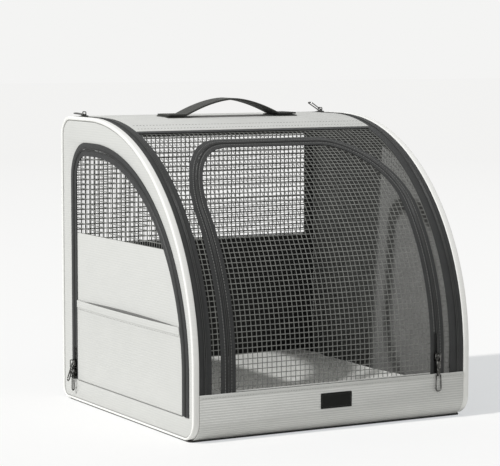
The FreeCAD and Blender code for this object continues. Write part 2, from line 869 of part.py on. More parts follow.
def make_top():
    """The pale top panel, from the canopy's seam to the back."""
    face = d.tape_depth - d.coil_height
    wall = d.shell_wall
    outer = canopy_radius - face
    inner = outer - wall
    angle = d.seam_angle
    outline = [
        corner(arc_y - outer * angle.cosine(), arc_z + outer * angle.sine(), outer, -1),
        corner(arc_y, d.height - face),
        corner(roof_end, d.height - face),
        corner(roof_end, d.height - face - wall),
        corner(arc_y, d.height - face - wall, inner),
        corner(arc_y - inner * angle.cosine(), arc_z + inner * angle.sine()),
    ]
    keep("top_panel", padded("top_panel", "YZ", [outline], -top_half, top_half * 2))


def make_label():
    """The bare dark patch sewn on the lip."""
    half = d.label_width / 2
    outline = rectangle(-half, half, d.label_foot, d.label_foot + d.label_height)
    keep("label_patch", padded("label_patch", "XZ", [outline], -front, d.label_wall))


# How far each section of the mat is drawn in, as a share of its height, and how high it lies.
MAT_INSET_SHARES = (0.25, 0.02, 0, 0.1, 0.45, 1.5)
MAT_HEIGHT_SHARES = (0, 0.22, 0.5, 0.75, 0.92, 1)


def mat_outline(half_x, y0, y1, radius):
    """A rectangle with rounded corners and sides drawn in between them."""
    waist = d.mat_waist

    def dip(length):
        """The radius of a side drawn in by the waist."""
        half = length / 2 - radius
        return (half * half + waist * waist) / (waist * 2)

    across = dip(half_x * 2)
    along = dip(y1 - y0)
    return [
        corner(-half_x + radius, y0, across, -1),
        corner(half_x - radius, y0, radius),
        corner(half_x, y0 + radius, along, -1),
        corner(half_x, y1 - radius, radius),
        corner(half_x - radius, y1, across, -1),
        corner(-half_x + radius, y1, radius),
        corner(-half_x, y1 - radius, along, -1),
        corner(-half_x, y0 + radius, radius),
    ]


def make_mat():
    """The padded floor mat: a crowned cushion whose sides are drawn in between its corners."""
    body = doc.addObject("PartDesign::Body", "floor_mat")
    low = d.shell_wall + d.board_wall + d.clearance
    sections = []
    for number, (inset_share, height_share) in enumerate(zip(MAT_INSET_SHARES, MAT_HEIGHT_SHARES)):
        inset = d.mat_height * inset_share
        half_x = rim_inside - d.mat_gap - inset
        y0 = front + d.shell_wall + d.mat_gap + inset
        y1 = back - d.shell_wall - d.mat_gap - inset
        outline = mat_outline(half_x, y0, y1, d.mat_corner)
        level = low + d.mat_height * height_share
        sections.append(add_sketch(body, f"mat_{number}", "XY", [outline], level))
    loft = body.newObject("PartDesign::AdditiveLoft", "mat_loft")
    loft.Profile = sections[0]
    loft.Sections = sections[1:]
    loft.Ruled = True
    body.Tip = loft
    keep("floor_mat", body)


# Carry handle


def make_handle():
    """The webbing handle: two sewn patches, the strap's sewn ends and the free strap between them."""
    base = d.height - (d.tape_depth - d.coil_height)
    middle = arc_y - d.handle_lead
    half = d.strap_width / 2
    wide = half + d.patch_margin
    span = d.strap_half_span
    sewn = base + d.patch_wall
    rise = sewn + d.strap_foot_height
    wall = d.strap_wall
    outline = rectangle(d.patch_start, d.patch_half_length, middle - wide, middle + wide)
    right_patch = padded("right_patch", "XY", [outline], base, d.patch_wall)
    patches = [right_patch, mirrored(right_patch, "left_patch")]
    tip = d.patch_half_length - d.sewn_end_inset
    inner = span + d.clearance
    bend = d.sewn_end_start
    end_outline = [
        corner(bend, sewn),
        corner(inner, rise),
        corner(inner, rise + wall),
        corner(bend, sewn + wall),
        corner(tip, sewn + wall),
        corner(tip, sewn),
    ]
    right_end = padded("right_end", "XZ", [end_outline], -middle - half, d.strap_width)
    ends = [right_end, mirrored(right_end, "left_end")]
    keep("handle_patches", group("handle_patches", patches))
    keep("handle_ends", group("handle_ends", ends))
    radius = (span * span + d.strap_rise * d.strap_rise) / (d.strap_rise * 2)
    centre = rise + wall + d.strap_rise - radius
    inner_radius = radius - wall
    inner_rise = centre + (inner_radius * inner_radius - span * span).root()
    outline = [
        corner(span, rise + wall, radius),
        corner(-span, rise + wall),
        corner(-span, inner_rise, inner_radius, -1),
        corner(span, inner_rise),
    ]
    keep("handle_strap", padded("handle_strap", "XZ", [outline], -middle - half, d.strap_width))


# Zip sliders and pulls


def place(body, base, along, normal):
    """Put a piece's own X and Z along two directions, with its origin at a bound place."""
    across = normal.cross(along)
    turn = FreeCAD.Rotation(along, across, normal, "XYZ")
    body.Placement = FreeCAD.Placement(FreeCAD.Vector(), turn)
    for axis, size in zip("xyz", base):
        bind(body, f"Placement.Base.{axis}", size)


def slider_outline():
    """A slider's plate: broad at its nose, narrow at its tail."""
    nose = d.slider_length / 2
    half = d.slider_width / 2
    tail = d.slider_tail / 2
    shoulder = nose - half / 2
    return [
        corner(-nose, -tail),
        corner(ZERO, -half),
        corner(shoulder, -half),
        corner(nose, -tail),
        corner(nose, tail),
        corner(shoulder, half),
        corner(ZERO, half),
        corner(-nose, tail),
    ]


def make_slider(name, base, along, normal):
    """A slider: two plates joined by a web in the slit, with an open bridge on top for the pull."""
    body = doc.addObject("PartDesign::Body", name)
    grip = d.clearance + d.coil_height + d.tape_wall + d.clearance
    add_pad(body, f"{name}_top", "XY", [slider_outline()], ZERO, d.slider_plate)
    web_half = d.slider_web / 2
    web_end = d.slider_length / 2 - d.slider_width / 4
    web = rectangle(web_end - d.slider_web_length, web_end, -web_half, web_half)
    add_pad(body, f"{name}_web", "XY", [web], -grip - d.slider_plate / 2, grip + d.slider_plate)
    add_pad(body, f"{name}_under", "XY", [slider_outline()], -grip - d.slider_plate, d.slider_plate)
    half = d.bridge_length / 2
    foot = d.slider_plate / 2
    inside = d.slider_plate + d.bridge_clear
    crown = inside + d.bridge_wall
    bend = d.bridge_round
    bridge = [
        corner(half, foot),
        corner(half, crown - bend, bend),
        corner(half - bend, crown),
        corner(bend - half, crown, bend),
        corner(-half, crown - bend),
        corner(-half, foot),
        corner(d.bridge_post - half, foot),
        corner(d.bridge_post - half, inside),
        corner(half - d.bridge_post, inside),
        corner(half - d.bridge_post, foot),
    ]
    add_pad(body, f"{name}_bridge", "XZ", [bridge], -(d.bridge_width / 2), d.bridge_width)
    place(body, base, along, normal)
    keep(name, body)


def ring_outlines(length, eye_half, end_radius, wire, bar):
    """A drop-shaped loop of flat wire with its straight bar at the origin, and its hole."""
    outlines = []
    bend = length - end_radius
    edges = ((eye_half + wire, end_radius, -bar / 2), (eye_half, end_radius - wire, bar / 2))
    for half, radius, start in edges:
        outlines.append(
            [
                corner(start, -half),
                corner(bend, -radius, radius),
                corner(bend + radius, ZERO, radius),
                corner(bend, radius),
                corner(start, half),
            ]
        )
    return outlines


def pull_frame(base, along, normal, lift):
    """Where a pull's bar lies under its slider's bridge, and the pull's own directions when lifted."""
    height = d.slider_plate + d.bridge_clear / 2
    origin = [place_size + height * share for place_size, share in zip(base, normal)]
    angle = math.radians(lift.value)
    out = along * -math.cos(angle) + normal * math.sin(angle)
    face = normal * math.cos(angle) + along * math.sin(angle)
    return origin, out, face


def make_pull(name, base, along, normal, length, lift=ZERO):
    """A drop-shaped wire pull whose bar lies under the slider's bridge."""
    body = doc.addObject("PartDesign::Body", name)
    rings = ring_outlines(length, d.pull_eye_half, d.pull_end_radius, d.pull_wire, d.pull_wall)
    add_pad(body, name, "XY", rings, -(d.pull_wall / 2), d.pull_wall)
    place(body, *pull_frame(base, along, normal, lift))
    keep(name, body)


def make_tab_and_loop(base, along, normal):
    """The front slider's pull: a flat tab with a knuckle, and a wire loop through the knuckle."""
    origin, out, face = pull_frame(base, along, normal, ZERO)
    tab = doc.addObject("PartDesign::Body", "front_pull_tab")
    half = d.pull_eye_half + d.pull_wire
    end = d.tab_length - (d.knuckle_radius + d.knuckle_bore) / 2
    start = d.pull_wall / 2
    waist = d.tab_eye_length + d.pull_wire
    plate = [
        corner(-start, -half),
        corner(waist, -half),
        corner(end, -d.knuckle_half),
        corner(end, d.knuckle_half),
        corner(waist, half),
        corner(-start, half),
    ]
    eye = rectangle(start, d.tab_eye_length, -d.pull_eye_half, d.pull_eye_half)
    add_pad(tab, "tab_plate", "XY", [plate, eye], -(d.pull_wall / 2), d.pull_wall)
    knuckle = []
    for radius in (d.knuckle_radius, d.knuckle_bore):
        knuckle.append(
            [
                corner(d.tab_length + radius, ZERO, radius),
                corner(d.tab_length, radius, radius),
                corner(d.tab_length - radius, ZERO, radius),
                corner(d.tab_length, -radius, radius),
            ]
        )
    add_pad(tab, "tab_knuckle", "XZ", knuckle, -d.knuckle_half, d.knuckle_half * 2)
    place(tab, origin, out, face)
    keep("front_pull_tab", tab)
    loop = doc.addObject("PartDesign::Body", "front_pull_loop")
    eye_half = d.knuckle_half + d.clearance
    outlines = ring_outlines(d.loop_length, eye_half, d.loop_end_radius, d.pull_wire, d.loop_bar)
    add_pad(loop, "loop", "XY", outlines, -(d.loop_bar / 2), d.loop_bar)
    hang = [place_size + d.tab_length * share for place_size, share in zip(origin, out)]
    place(loop, hang, out, face)
    keep("front_pull_loop", loop)


def make_sliders():
    """Every slider with its pull, on its own slit."""
    up = FreeCAD.Vector(0, 0, 1)
    forward = FreeCAD.Vector(0, -1, 0)
    outward = FreeCAD.Vector(-1, 0, 0)
    lift = d.clearance
    coil_face = d.tape_depth - d.coil_height
    for side, pull_lift in ((LEFT, d.left_pull_lift), (RIGHT, d.right_pull_lift)):
        name = f"{side_name(side)}_arc"
        base = (arc_slit * side, roof_end - d.arc_slider_park, d.height - coil_face + lift)
        make_slider(f"{name}_slider", base, forward, up)
        make_pull(f"{name}_pull", base, forward, up, d.arc_pull_length, pull_lift)
    base = (door_half, front + coil_face - lift, d.front_slider_height)
    make_slider("front_slider", base, up, forward)
    make_tab_and_loop(base, up, forward)
    face = side_tape_face - d.coil_height - lift - half_width
    upper = (face, side_slit, d.side_upper_slider_height)
    lower = (face, side_slit, d.side_lower_slider_height)
    make_slider("side_upper_slider", upper, up, outward)
    make_pull("side_upper_pull", upper, up, outward, d.side_pull_length, d.upper_pull_lift)
    make_slider("side_lower_slider", lower, up, outward)
    make_pull("side_lower_pull", lower, up, outward, d.side_pull_length)


def check_and_write():
    """Stop on any failed piece, then write every node."""
    doc.recompute()
    failed = [item.Name for item in doc.Objects if {"Invalid", "Error"} & set(item.State)]
    for name, item in nodes.items():
        if item.Shape.isNull() or not item.Shape.isValid() or item.Shape.Volume <= 0:
            failed.append(name)
    if failed:
        sys.exit(f"failed: {sorted(set(failed))}")
    os.makedirs("parts", exist_ok=True)
    for name, item in nodes.items():
        item.Shape.exportStep(f"parts/{name}.step")
    print(f"{len(nodes)} nodes, {sum(len(item.Shape.Solids) for item in nodes.values())} solids")


make_base()
make_back()
make_top()
make_label()
make_side_panels()
for each_side in (LEFT, RIGHT):
    make_rim(each_side)
    make_boning(each_side)
make_arc_zips()
make_canopy()
make_front_zip()
make_front_door()
make_side_zip()
make_side_door()
make_side_net()
make_mat()
make_handle()
make_sliders()
check_and_write()
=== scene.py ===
"""Looks of the car pet carrier: cloth, mesh, zips, webbing and hardware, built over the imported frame.

Pieces are cut flat on a bench in millimetres, as a maker cuts cloth, and are then laid round the shell.
The frame: X to the right, Y to the back, Z up, with the origin on the ground under the middle.
"""

import logging
import math
from collections.abc import Callable, Iterator, Sequence
from contextlib import contextmanager
from dataclasses import dataclass, replace
from enum import Enum

import bmesh
import bpy
from mathutils import Matrix, Vector

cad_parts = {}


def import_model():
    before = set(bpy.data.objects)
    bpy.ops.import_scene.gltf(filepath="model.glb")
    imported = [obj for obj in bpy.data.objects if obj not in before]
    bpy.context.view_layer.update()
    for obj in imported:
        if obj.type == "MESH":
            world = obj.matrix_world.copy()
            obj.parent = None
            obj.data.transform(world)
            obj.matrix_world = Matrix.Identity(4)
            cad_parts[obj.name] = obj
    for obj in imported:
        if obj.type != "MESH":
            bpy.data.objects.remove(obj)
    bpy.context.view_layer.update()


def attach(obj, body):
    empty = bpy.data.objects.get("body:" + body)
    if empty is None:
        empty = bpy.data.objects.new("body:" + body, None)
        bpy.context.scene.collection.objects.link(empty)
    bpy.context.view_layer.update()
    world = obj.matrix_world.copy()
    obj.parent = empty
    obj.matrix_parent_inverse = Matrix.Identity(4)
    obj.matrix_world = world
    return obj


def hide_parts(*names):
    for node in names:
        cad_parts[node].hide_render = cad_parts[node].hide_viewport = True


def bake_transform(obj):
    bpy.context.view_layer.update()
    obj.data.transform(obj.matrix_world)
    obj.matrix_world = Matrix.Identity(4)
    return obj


LOG = logging.getLogger("carrier")
MM = 0.001
Socket = bpy.types.NodeSocket
Pair = tuple[float, float]
Test = Callable[[Vector], bool]
Place = Callable[[Vector], Vector]


class Body(str, Enum):
    """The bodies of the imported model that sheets, tapes and nets ride on."""

    SHELL = "shell"
    FRONT_DOOR = "front_door"
    SIDE_DOOR = "side_door"
    MAT = "floor_mat"
    STRAP = "handle_strap"


class Side(Enum):
    """A side of the carrier, by the sign of its X."""

    LEFT = -1
    RIGHT = 1

    @property
    def word(self) -> str:
        """The side's name in the names of pieces."""
        return self.name.lower()


# Finishes


def linear(code: str) -> tuple[float, float, float, float]:
    """Turn an sRGB hex colour to linear.

    Args:
        code: Six hex digits after a hash.

    Returns:
        Linear red, green and blue, with an alpha of 1.
    """
    parts = [int(code[index : index + 2], 16) / 255 for index in (1, 3, 5)]
    red, green, blue = (p / 12.92 if p <= 0.04045 else ((p + 0.055) / 1.055) ** 2.4 for p in parts)
    return (red, green, blue, 1.0)


def set_inputs(tree: bpy.types.NodeTree, node: bpy.types.Node, inputs: dict[str | int, object]) -> None:
    """Give a node its values and links.

    Args:
        tree: The node tree.
        node: The node.
        inputs: Values, or sockets to link from, by the input's name or number.
    """
    for key, value in inputs.items():
        if isinstance(value, Socket):
            tree.links.new(value, node.inputs[key])
        else:
            node.inputs[key].default_value = value


def add_node(
    tree: bpy.types.NodeTree, kind: str, inputs: dict[str | int, object], **settings: object
) -> bpy.types.Node:
    """Add a node with its settings, values and links.

    Args:
        tree: The node tree.
        kind: The node's type name, without its common start.
        inputs: Values, or sockets to link from, by the input's name or number.
        **settings: Properties of the node.

    Returns:
        The new node.
    """
    node = tree.nodes.new(f"ShaderNode{kind}")
    for name, value in settings.items():
        setattr(node, name, value)
    set_inputs(tree, node, inputs)
    return node


class Shading:
    """A material in the making: its node tree and the patterns that feed its shader."""

    def __init__(self, name: str, space: str) -> None:
        """Start a material.

        Args:
            name: What it is.
            space: The coordinates of its patterns, UV or Object.
        """
        self.material = bpy.data.materials.new(name)
        self.material.use_nodes = True
        self.tree = self.material.node_tree
        self.place = add_node(self.tree, "TexCoord", {}).outputs[space]

    def noise(self, size: float, detail: float) -> Socket:
        """Spots of about a size, in millimetres."""
        inputs = {"Vector": self.place, "Scale": 1 / (size * MM), "Detail": detail}
        return add_node(self.tree, "TexNoise", inputs).outputs["Fac"]

    def bands(self, pitch: float, way: str, place: Socket | None = None) -> Socket:
        """Make bands that repeat every pitch.

        Args:
            pitch: The step in millimetres.
            way: The direction across the bands.
            place: Other coordinates than the material's own.

        Returns:
            The bands' height.
        """
        scale = math.tau / 20 / (pitch * MM)
        inputs = {"Vector": self.place if place is None else place, "Scale": scale}
        return add_node(self.tree, "TexWave", inputs, bands_direction=way).outputs["Fac"]

    def calc(self, operation: str, *values: Socket | float) -> Socket:
        """The result of an operation on sockets and numbers."""
        return add_node(self.tree, "Math", dict(enumerate(values)), operation=operation).outputs[0]

    def ranged(self, value: Socket, start: Pair, end: Pair = (0.0, 1.0)) -> Socket:
        """Bring a value from one range to another.

        Args:
            value: The value.
            start: The range that it has.
            end: The range that it gets.

        Returns:
            The new value.
        """
        names = ("From Min", "From Max", "To Min", "To Max")
        inputs = {"Value": value, **dict(zip(names, start + end))}
        return add_node(self.tree, "MapRange", inputs).outputs[0]

    def tint(self, share: Socket, low: str, high: str) -> Socket:
        """A mix of two sRGB colours by a share."""
        inputs = {0: share, 6: linear(low), 7: linear(high)}
        return add_node(self.tree, "Mix", inputs, data_type="RGBA").outputs[2]

    def finished(
        self, tint: Socket, matt: Socket, height: Socket, relief: Pair, constants: dict[str, float]
    ) -> bpy.types.Material:
        """Feed the shader.

        Args:
            tint: The colour.
            matt: The roughness.
            height: The relief's pattern.
            relief: The relief's strength, and its depth in millimetres.
            constants: Values for the shader's own sockets.

        Returns:
            The material.
        """
        inputs = {"Height": height, "Strength": relief[0], "Distance": relief[1] * MM}
        bump = add_node(self.tree, "Bump", inputs).outputs[0]
        feeds = {"Base Color": tint, "Roughness": matt, "Normal": bump}
        set_inputs(self.tree, self.tree.nodes["Principled BSDF"], {**feeds, **constants})
        return self.material


@dataclass(frozen=True)
class Cloth:
    """Woven polyester cloth: a matt face with ribs, a fine weave and a soft sheen at its edges.

    The weave's real threads are about 0.4 mm apart and would not show, so it is drawn coarser.
    """

    name: str
    colour: str
    # The darker colour where the ribs and the weave sink: painted shade, mixed with a random cloud of
    # tone.
    hollow_shade_and_tone: str
    rib: float
    rib_share: float
    weave: float = 1.6
    cloud: float = 35.7
    roughness: float = 0.82
    sheen: float = 0.15
    relief: float = 0.25

    def make(self) -> bpy.types.Material:
        """Build the cloth's material, with its ribs across the piece's own UV map.

        Returns:
            The material.
        """
        look = Shading(self.name, "UV")
        ridge = look.calc("POWER", look.bands(self.rib, "Y"), 2.2)
        weave = look.calc("MULTIPLY", look.bands(self.weave, "X"), look.bands(self.weave, "Y"))
        cloud = look.noise(self.cloud, 3.0)
        mixed = look.calc("MULTIPLY_ADD", ridge, self.rib_share, weave)
        fuzzy = look.calc("MULTIPLY_ADD", cloud, 0.7, mixed)
        # The colour darkens where the relief sinks, which is painted shade, and at random with the cloud.
        depth = look.ranged(fuzzy, (0.2, 1.7 + self.rib_share))
        return look.finished(
            look.tint(depth, self.hollow_shade_and_tone, self.colour),
            look.ranged(cloud, (0.0, 1.0), (self.roughness - 0.06, self.roughness + 0.06)),
            mixed,
            (self.relief, 0.6),
            {"Sheen Weight": self.sheen, "Sheen Roughness": 0.5, "IOR": 1.46, "Specular IOR Level": 0.25},
        )


@dataclass(frozen=True)
class Webbing:
    """Woven nylon tape: a herringbone of thick yarns, with a slight gloss on their tops.

    Real yarns are about 0.6 mm apart and would not show, so they are drawn coarser.
    """

    name: str
    colour: str
    # The darker colour between the yarns: painted shade where the relief sinks, mixed with a random cloud
    # of tone.
    hollow_shade_and_tone: str
    yarn: float
    chevron: float
    cloud: float = 16.67
    roughness: float = 0.6

    def make(self) -> bpy.types.Material:
        """Build the tape's material, with its yarns on the piece's own UV map.

        Returns:
            The material.
        """
        look = Shading(self.name, "UV")
        split = add_node(look.tree, "SeparateXYZ", {0: look.place})
        fold = look.calc("PINGPONG", split.outputs[0], self.chevron * MM)
        turned = add_node(look.tree, "CombineXYZ", {0: fold, 1: split.outputs[1]}).outputs[0]
        yarns = look.bands(self.yarn, "DIAGONAL", turned)
        lay = look.calc("MULTIPLY_ADD", look.bands(self.yarn, "Y"), 0.5, yarns)
        fuzzy = look.calc("MULTIPLY_ADD", look.noise(self.cloud, 4.0), 0.8, lay)
        # The colour darkens where the yarns' relief sinks, which is painted shade, and at random with the
        # cloud.
        return look.finished(
            look.tint(look.ranged(fuzzy, (0.2, 2.0)), self.hollow_shade_and_tone, self.colour),
            look.ranged(fuzzy, (0.0, 2.0), (self.roughness + 0.15, self.roughness)),
            lay,
            (0.45, 0.5),
            {"Sheen Weight": 0.05, "IOR": 1.53, "Specular IOR Level": 0.3},
        )


@dataclass(frozen=True)
class Moulded:
    """Moulded or extruded polymer: an even colour with a fine grain and a broad, soft gloss."""

    name: str
    colour: str
    # The darker colour: partly painted shade where the grain's relief sinks, partly a random cloud of
    # tone.
    hollow_shade_and_tone: str
    grain: float
    roughness: float
    relief: float = 0.12
    specular: float = 0.5
    cloud: float = 22.22

    def make(self) -> bpy.types.Material:
        """Build the polymer's material on object coordinates.

        Returns:
            The material.
        """
        look = Shading(self.name, "Object")
        grain = look.noise(self.grain, 2.0)
        cloud = look.noise(self.cloud, 2.0)
        # The colour darkens in the grain's hollows, which is painted shade, and at random with the cloud.
        depth = look.ranged(look.calc("ADD", grain, cloud), (0.6, 1.4))
        return look.finished(
            look.tint(depth, self.hollow_shade_and_tone, self.colour),
            look.ranged(cloud, (0.0, 1.0), (self.roughness - 0.08, self.roughness + 0.08)),
            grain,
            (self.relief, 0.3),
            {"IOR": 1.5, "Specular IOR Level": self.specular},
        )


@dataclass(frozen=True)
class PlatedZinc:
    """Die-cast zinc with a dark nickel plating: cloudy reflections and brighter rubbed patches."""

    name: str = "dark_plated_zinc"
    colour: str = "#3E3E3C"
    worn: str = "#8C8B88"
    roughness: float = 0.24
    cloud: float = 3.846
    pit: float = 0.6667

    def make(self) -> bpy.types.Material:
        """Build the metal's material on object coordinates.

        Returns:
            The material.
        """
        look = Shading(self.name, "Object")
        cloud = look.noise(self.cloud, 4.0)
        return look.finished(
            look.tint(look.ranged(cloud, (0.45, 0.75)), self.colour, self.worn),
            look.ranged(cloud, (0.0, 1.0), (self.roughness + 0.15, self.roughness - 0.1)),
            look.noise(self.pit, 2.0),
            (0.1, 0.2),
            {"Metallic": 1.0},
        )


@dataclass(frozen=True)
class Plush:
    """Short white polyester plush: tufted, with no gloss and a strong sheen along its nap."""

    name: str = "white_plush"
    colour: str = "#FAFAF6"
    # The darker colour between the tufts and in the nap's lows: painted shade where the relief sinks.
    hollow_shade_and_tone: str = "#ECECE7"
    tuft: float = 4.762
    nap: float = 33.33

    def make(self) -> bpy.types.Material:
        """Build the plush's material on object coordinates.

        Returns:
            The material.
        """
        look = Shading(self.name, "Object")
        tufts = look.noise(self.tuft, 4.0)
        both = look.calc("MULTIPLY_ADD", look.noise(self.nap, 2.0), 0.5, tufts)
        # The colour darkens where the tufts' relief sinks: painted shade.
        return look.finished(
            look.tint(look.ranged(both, (0.45, 1.0)), self.hollow_shade_and_tone, self.colour),
            look.ranged(tufts, (0.0, 1.0), (1.0, 0.85)),
            both,
            (0.3, 2.0),
            {"Sheen Weight": 0.4, "IOR": 1.45, "Specular IOR Level": 0.1},
        )


class Finish(Enum):
    """The carrier's finishes."""

    # The floor, the lip and the roof: pale, with fine lines across of painted shade in the ribs' hollows.
    RIBBED = Cloth("ribbed_polyester", "#E5E5E2", "#BDBEBB", 3.3, 1.2, relief=0.35)
    # The stiff sides and the back: almost even, with a hint of the same painted shade lines.
    PANEL = Cloth("laminated_polyester", "#D1D1CE", "#BFC0BD", 3.3, 0.5)
    # The rims: smoother and whiter, so that their round edge catches the light.
    BINDING = Cloth(
        "coated_binding", "#EFEFEC", "#E5E5E2", 0.9, 0.3, weave=1.0, roughness=0.5, sheen=0.05
    )
    # The inside of the back and the roof, and the sheet under the floor: a darker copy of the side
    # lining, painted dark for the shade inside the closed back, so that the net shows light before it.
    LINING = Cloth("painted_shade_lining", "#4C4C4B", "#30302F", 1.2, 0.3, weave=1.2)
    # The inside of the sides: mid grey, where the patches of sun show.
    SIDE_LINING = Cloth("grey_lining", "#929290", "#70706E", 1.2, 0.3, weave=1.2)
    # The zip tapes and bindings: dull charcoal with a fine herringbone.
    TAPE = Webbing("zip_tape_weave", "#383939", "#191A1A", 1.1, 5.0)
    # The handle: thicker yarns, with a little gloss on its bend.
    STRAP = Webbing("nylon_webbing", "#42433F", "#141414", 1.5, 4.0)
    # The zips' teeth: a dark row of beads with small glints.
    COIL = Moulded("nylon_zip_coil", "#2C2D2C", "#191A19", 0.6, 0.42)
    # The nets: grey yarns, lighter than the dark behind them.
    YARN = Moulded("coated_mesh_yarn", "#82837F", "#626361", 0.9, 0.65, specular=0.25)
    # The bare label: the darkest and dullest patch.
    LABEL = Moulded("soft_rubber", "#141512", "#0B0C0A", 0.5, 0.75, 0.3, specular=0.2)
    # Seams in pale cloth: soft grey dashes.
    THREAD = Moulded("polyester_thread", "#9A9A97", "#6E6E6B", 0.4, 0.7)
    # Seams on the zip tapes: a light dashed line on charcoal.
    TAPE_THREAD = Moulded("grey_thread", "#868684", "#6A6A68", 0.4, 0.7)
    # Seams on black: seen only as a relief.
    DARK_THREAD = Moulded("dark_thread", "#3E3E3D", "#232322", 0.4, 0.7)
    # The board in the floor: brown, fibrous and dull.
    BOARD = Moulded("hard_fibreboard", "#6B5644", "#4A3A2D", 1.5, 0.75, relief=0.3)
    # The strips in the rims: milky and smooth.
    BONING = Moulded("polypropylene_strip", "#D8D8D2", "#C4C4BE", 1.0, 0.45)
    # The sliders and pulls: dark metal with cloudy glints.
    METAL = PlatedZinc()
    # The mat: white and tufted, and bright along its nap.
    PLUSH = Plush()

    def material(self) -> bpy.types.Material:
        """The finish's material, built the first time it is asked for."""
        return bpy.data.materials.get(self.value.name) or self.value.make()


def redress(name: str, finish: Finish) -> None:
    """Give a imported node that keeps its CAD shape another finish.

    Args:
        name: The node.
        finish: What it is made of.
    """
    materials = bpy.data.objects[name].data.materials
    materials.clear()
    materials.append(finish.material())


# The bench


@dataclass(frozen=True)
class Outline:
    """A rectangle with a radius and a number of steps at each corner, in millimetres.

    The corners go round from the low one: low low, high low, high high, low high.
    """

    low: Pair
    high: Pair
    radii: tuple[float, float, float, float] = (0, 0, 0, 0)
    steps: tuple[int, int, int, int] = (6, 6, 6, 6)

    def corners(self) -> list[tuple[float, float, float, int]]:
        """List the corners.

        Returns:
            Each corner's place, radius and steps.
        """
        (x0, y0), (x1, y1) = self.low, self.high
        places = ((x0, y0), (x1, y0), (x1, y1), (x0, y1))
        return [(*place, radius, step) for place, radius, step in zip(places, self.radii, self.steps)]

    def grown(self, offset: float) -> "Outline":
        """Move the outline outwards all round.

        Args:
            offset: How far.

        Returns:
            The new outline.
        """
        return replace(
            self,
            low=(self.low[0] - offset, self.low[1] - offset),
            high=(self.high[0] + offset, self.high[1] + offset),
            radii=tuple(radius + offset if radius else 0 for radius in self.radii),
        )

    def line(self, foot: float, pitch: float) -> list[tuple[float, ...]]:
        """Walk along the outline from its foot on the low side over the top to its other foot.

        Args:
            foot: The height at which the line starts and ends.
            pitch: The distance between points.

        Returns:
            Evenly spaced points.
        """
        (x0, _), (x1, y1) = self.low, self.high
        left, right = self.radii[3], self.radii[2]
        rough = [(x0, foot)]
        for turn in range(self.steps[3] + 1):
            angle = math.pi / 2 * turn / self.steps[3]
            rough.append((x0 + left - left * math.cos(angle), y1 - left + left * math.sin(angle)))
        for turn in range(self.steps[2] + 1):
            angle = math.pi / 2 * turn / self.steps[2]
            rough.append((x1 - right + right * math.sin(angle), y1 - right + right * math.cos(angle)))
        rough.append((x1, foot))
        return spaced(rough, pitch)


def spaced(rough: Sequence[Sequence[float]], pitch: float) -> list[tuple[float, ...]]:
    """Walk along a line in even steps.

    Args:
        rough: The line's corners.
        pitch: About how long a step is.

    Returns:
        Points along the line, its two ends included.
    """
    corners = [Vector(place) for place in rough]
    runs = [(b - a).length for a, b in zip(corners, corners[1:])]
    count = max(2, round(sum(runs) / pitch))
    points, index, start = [], 0, 0.0
    for step in range(count + 1):
        target = sum(runs) * step / count
        while index < len(runs) - 1 and start + runs[index] < target:
            start += runs[index]
            index += 1
        share = (target - start) / runs[index] if runs[index] else 0
        points.append(tuple(corners[index].lerp(corners[index + 1], min(share, 1.0))))
    return points


def even(low: float, high: float, count: int) -> list[float]:
    """The values that part a span into a number of equal cells."""
    return [low + (high - low) * share / count for share in range(1, count)]


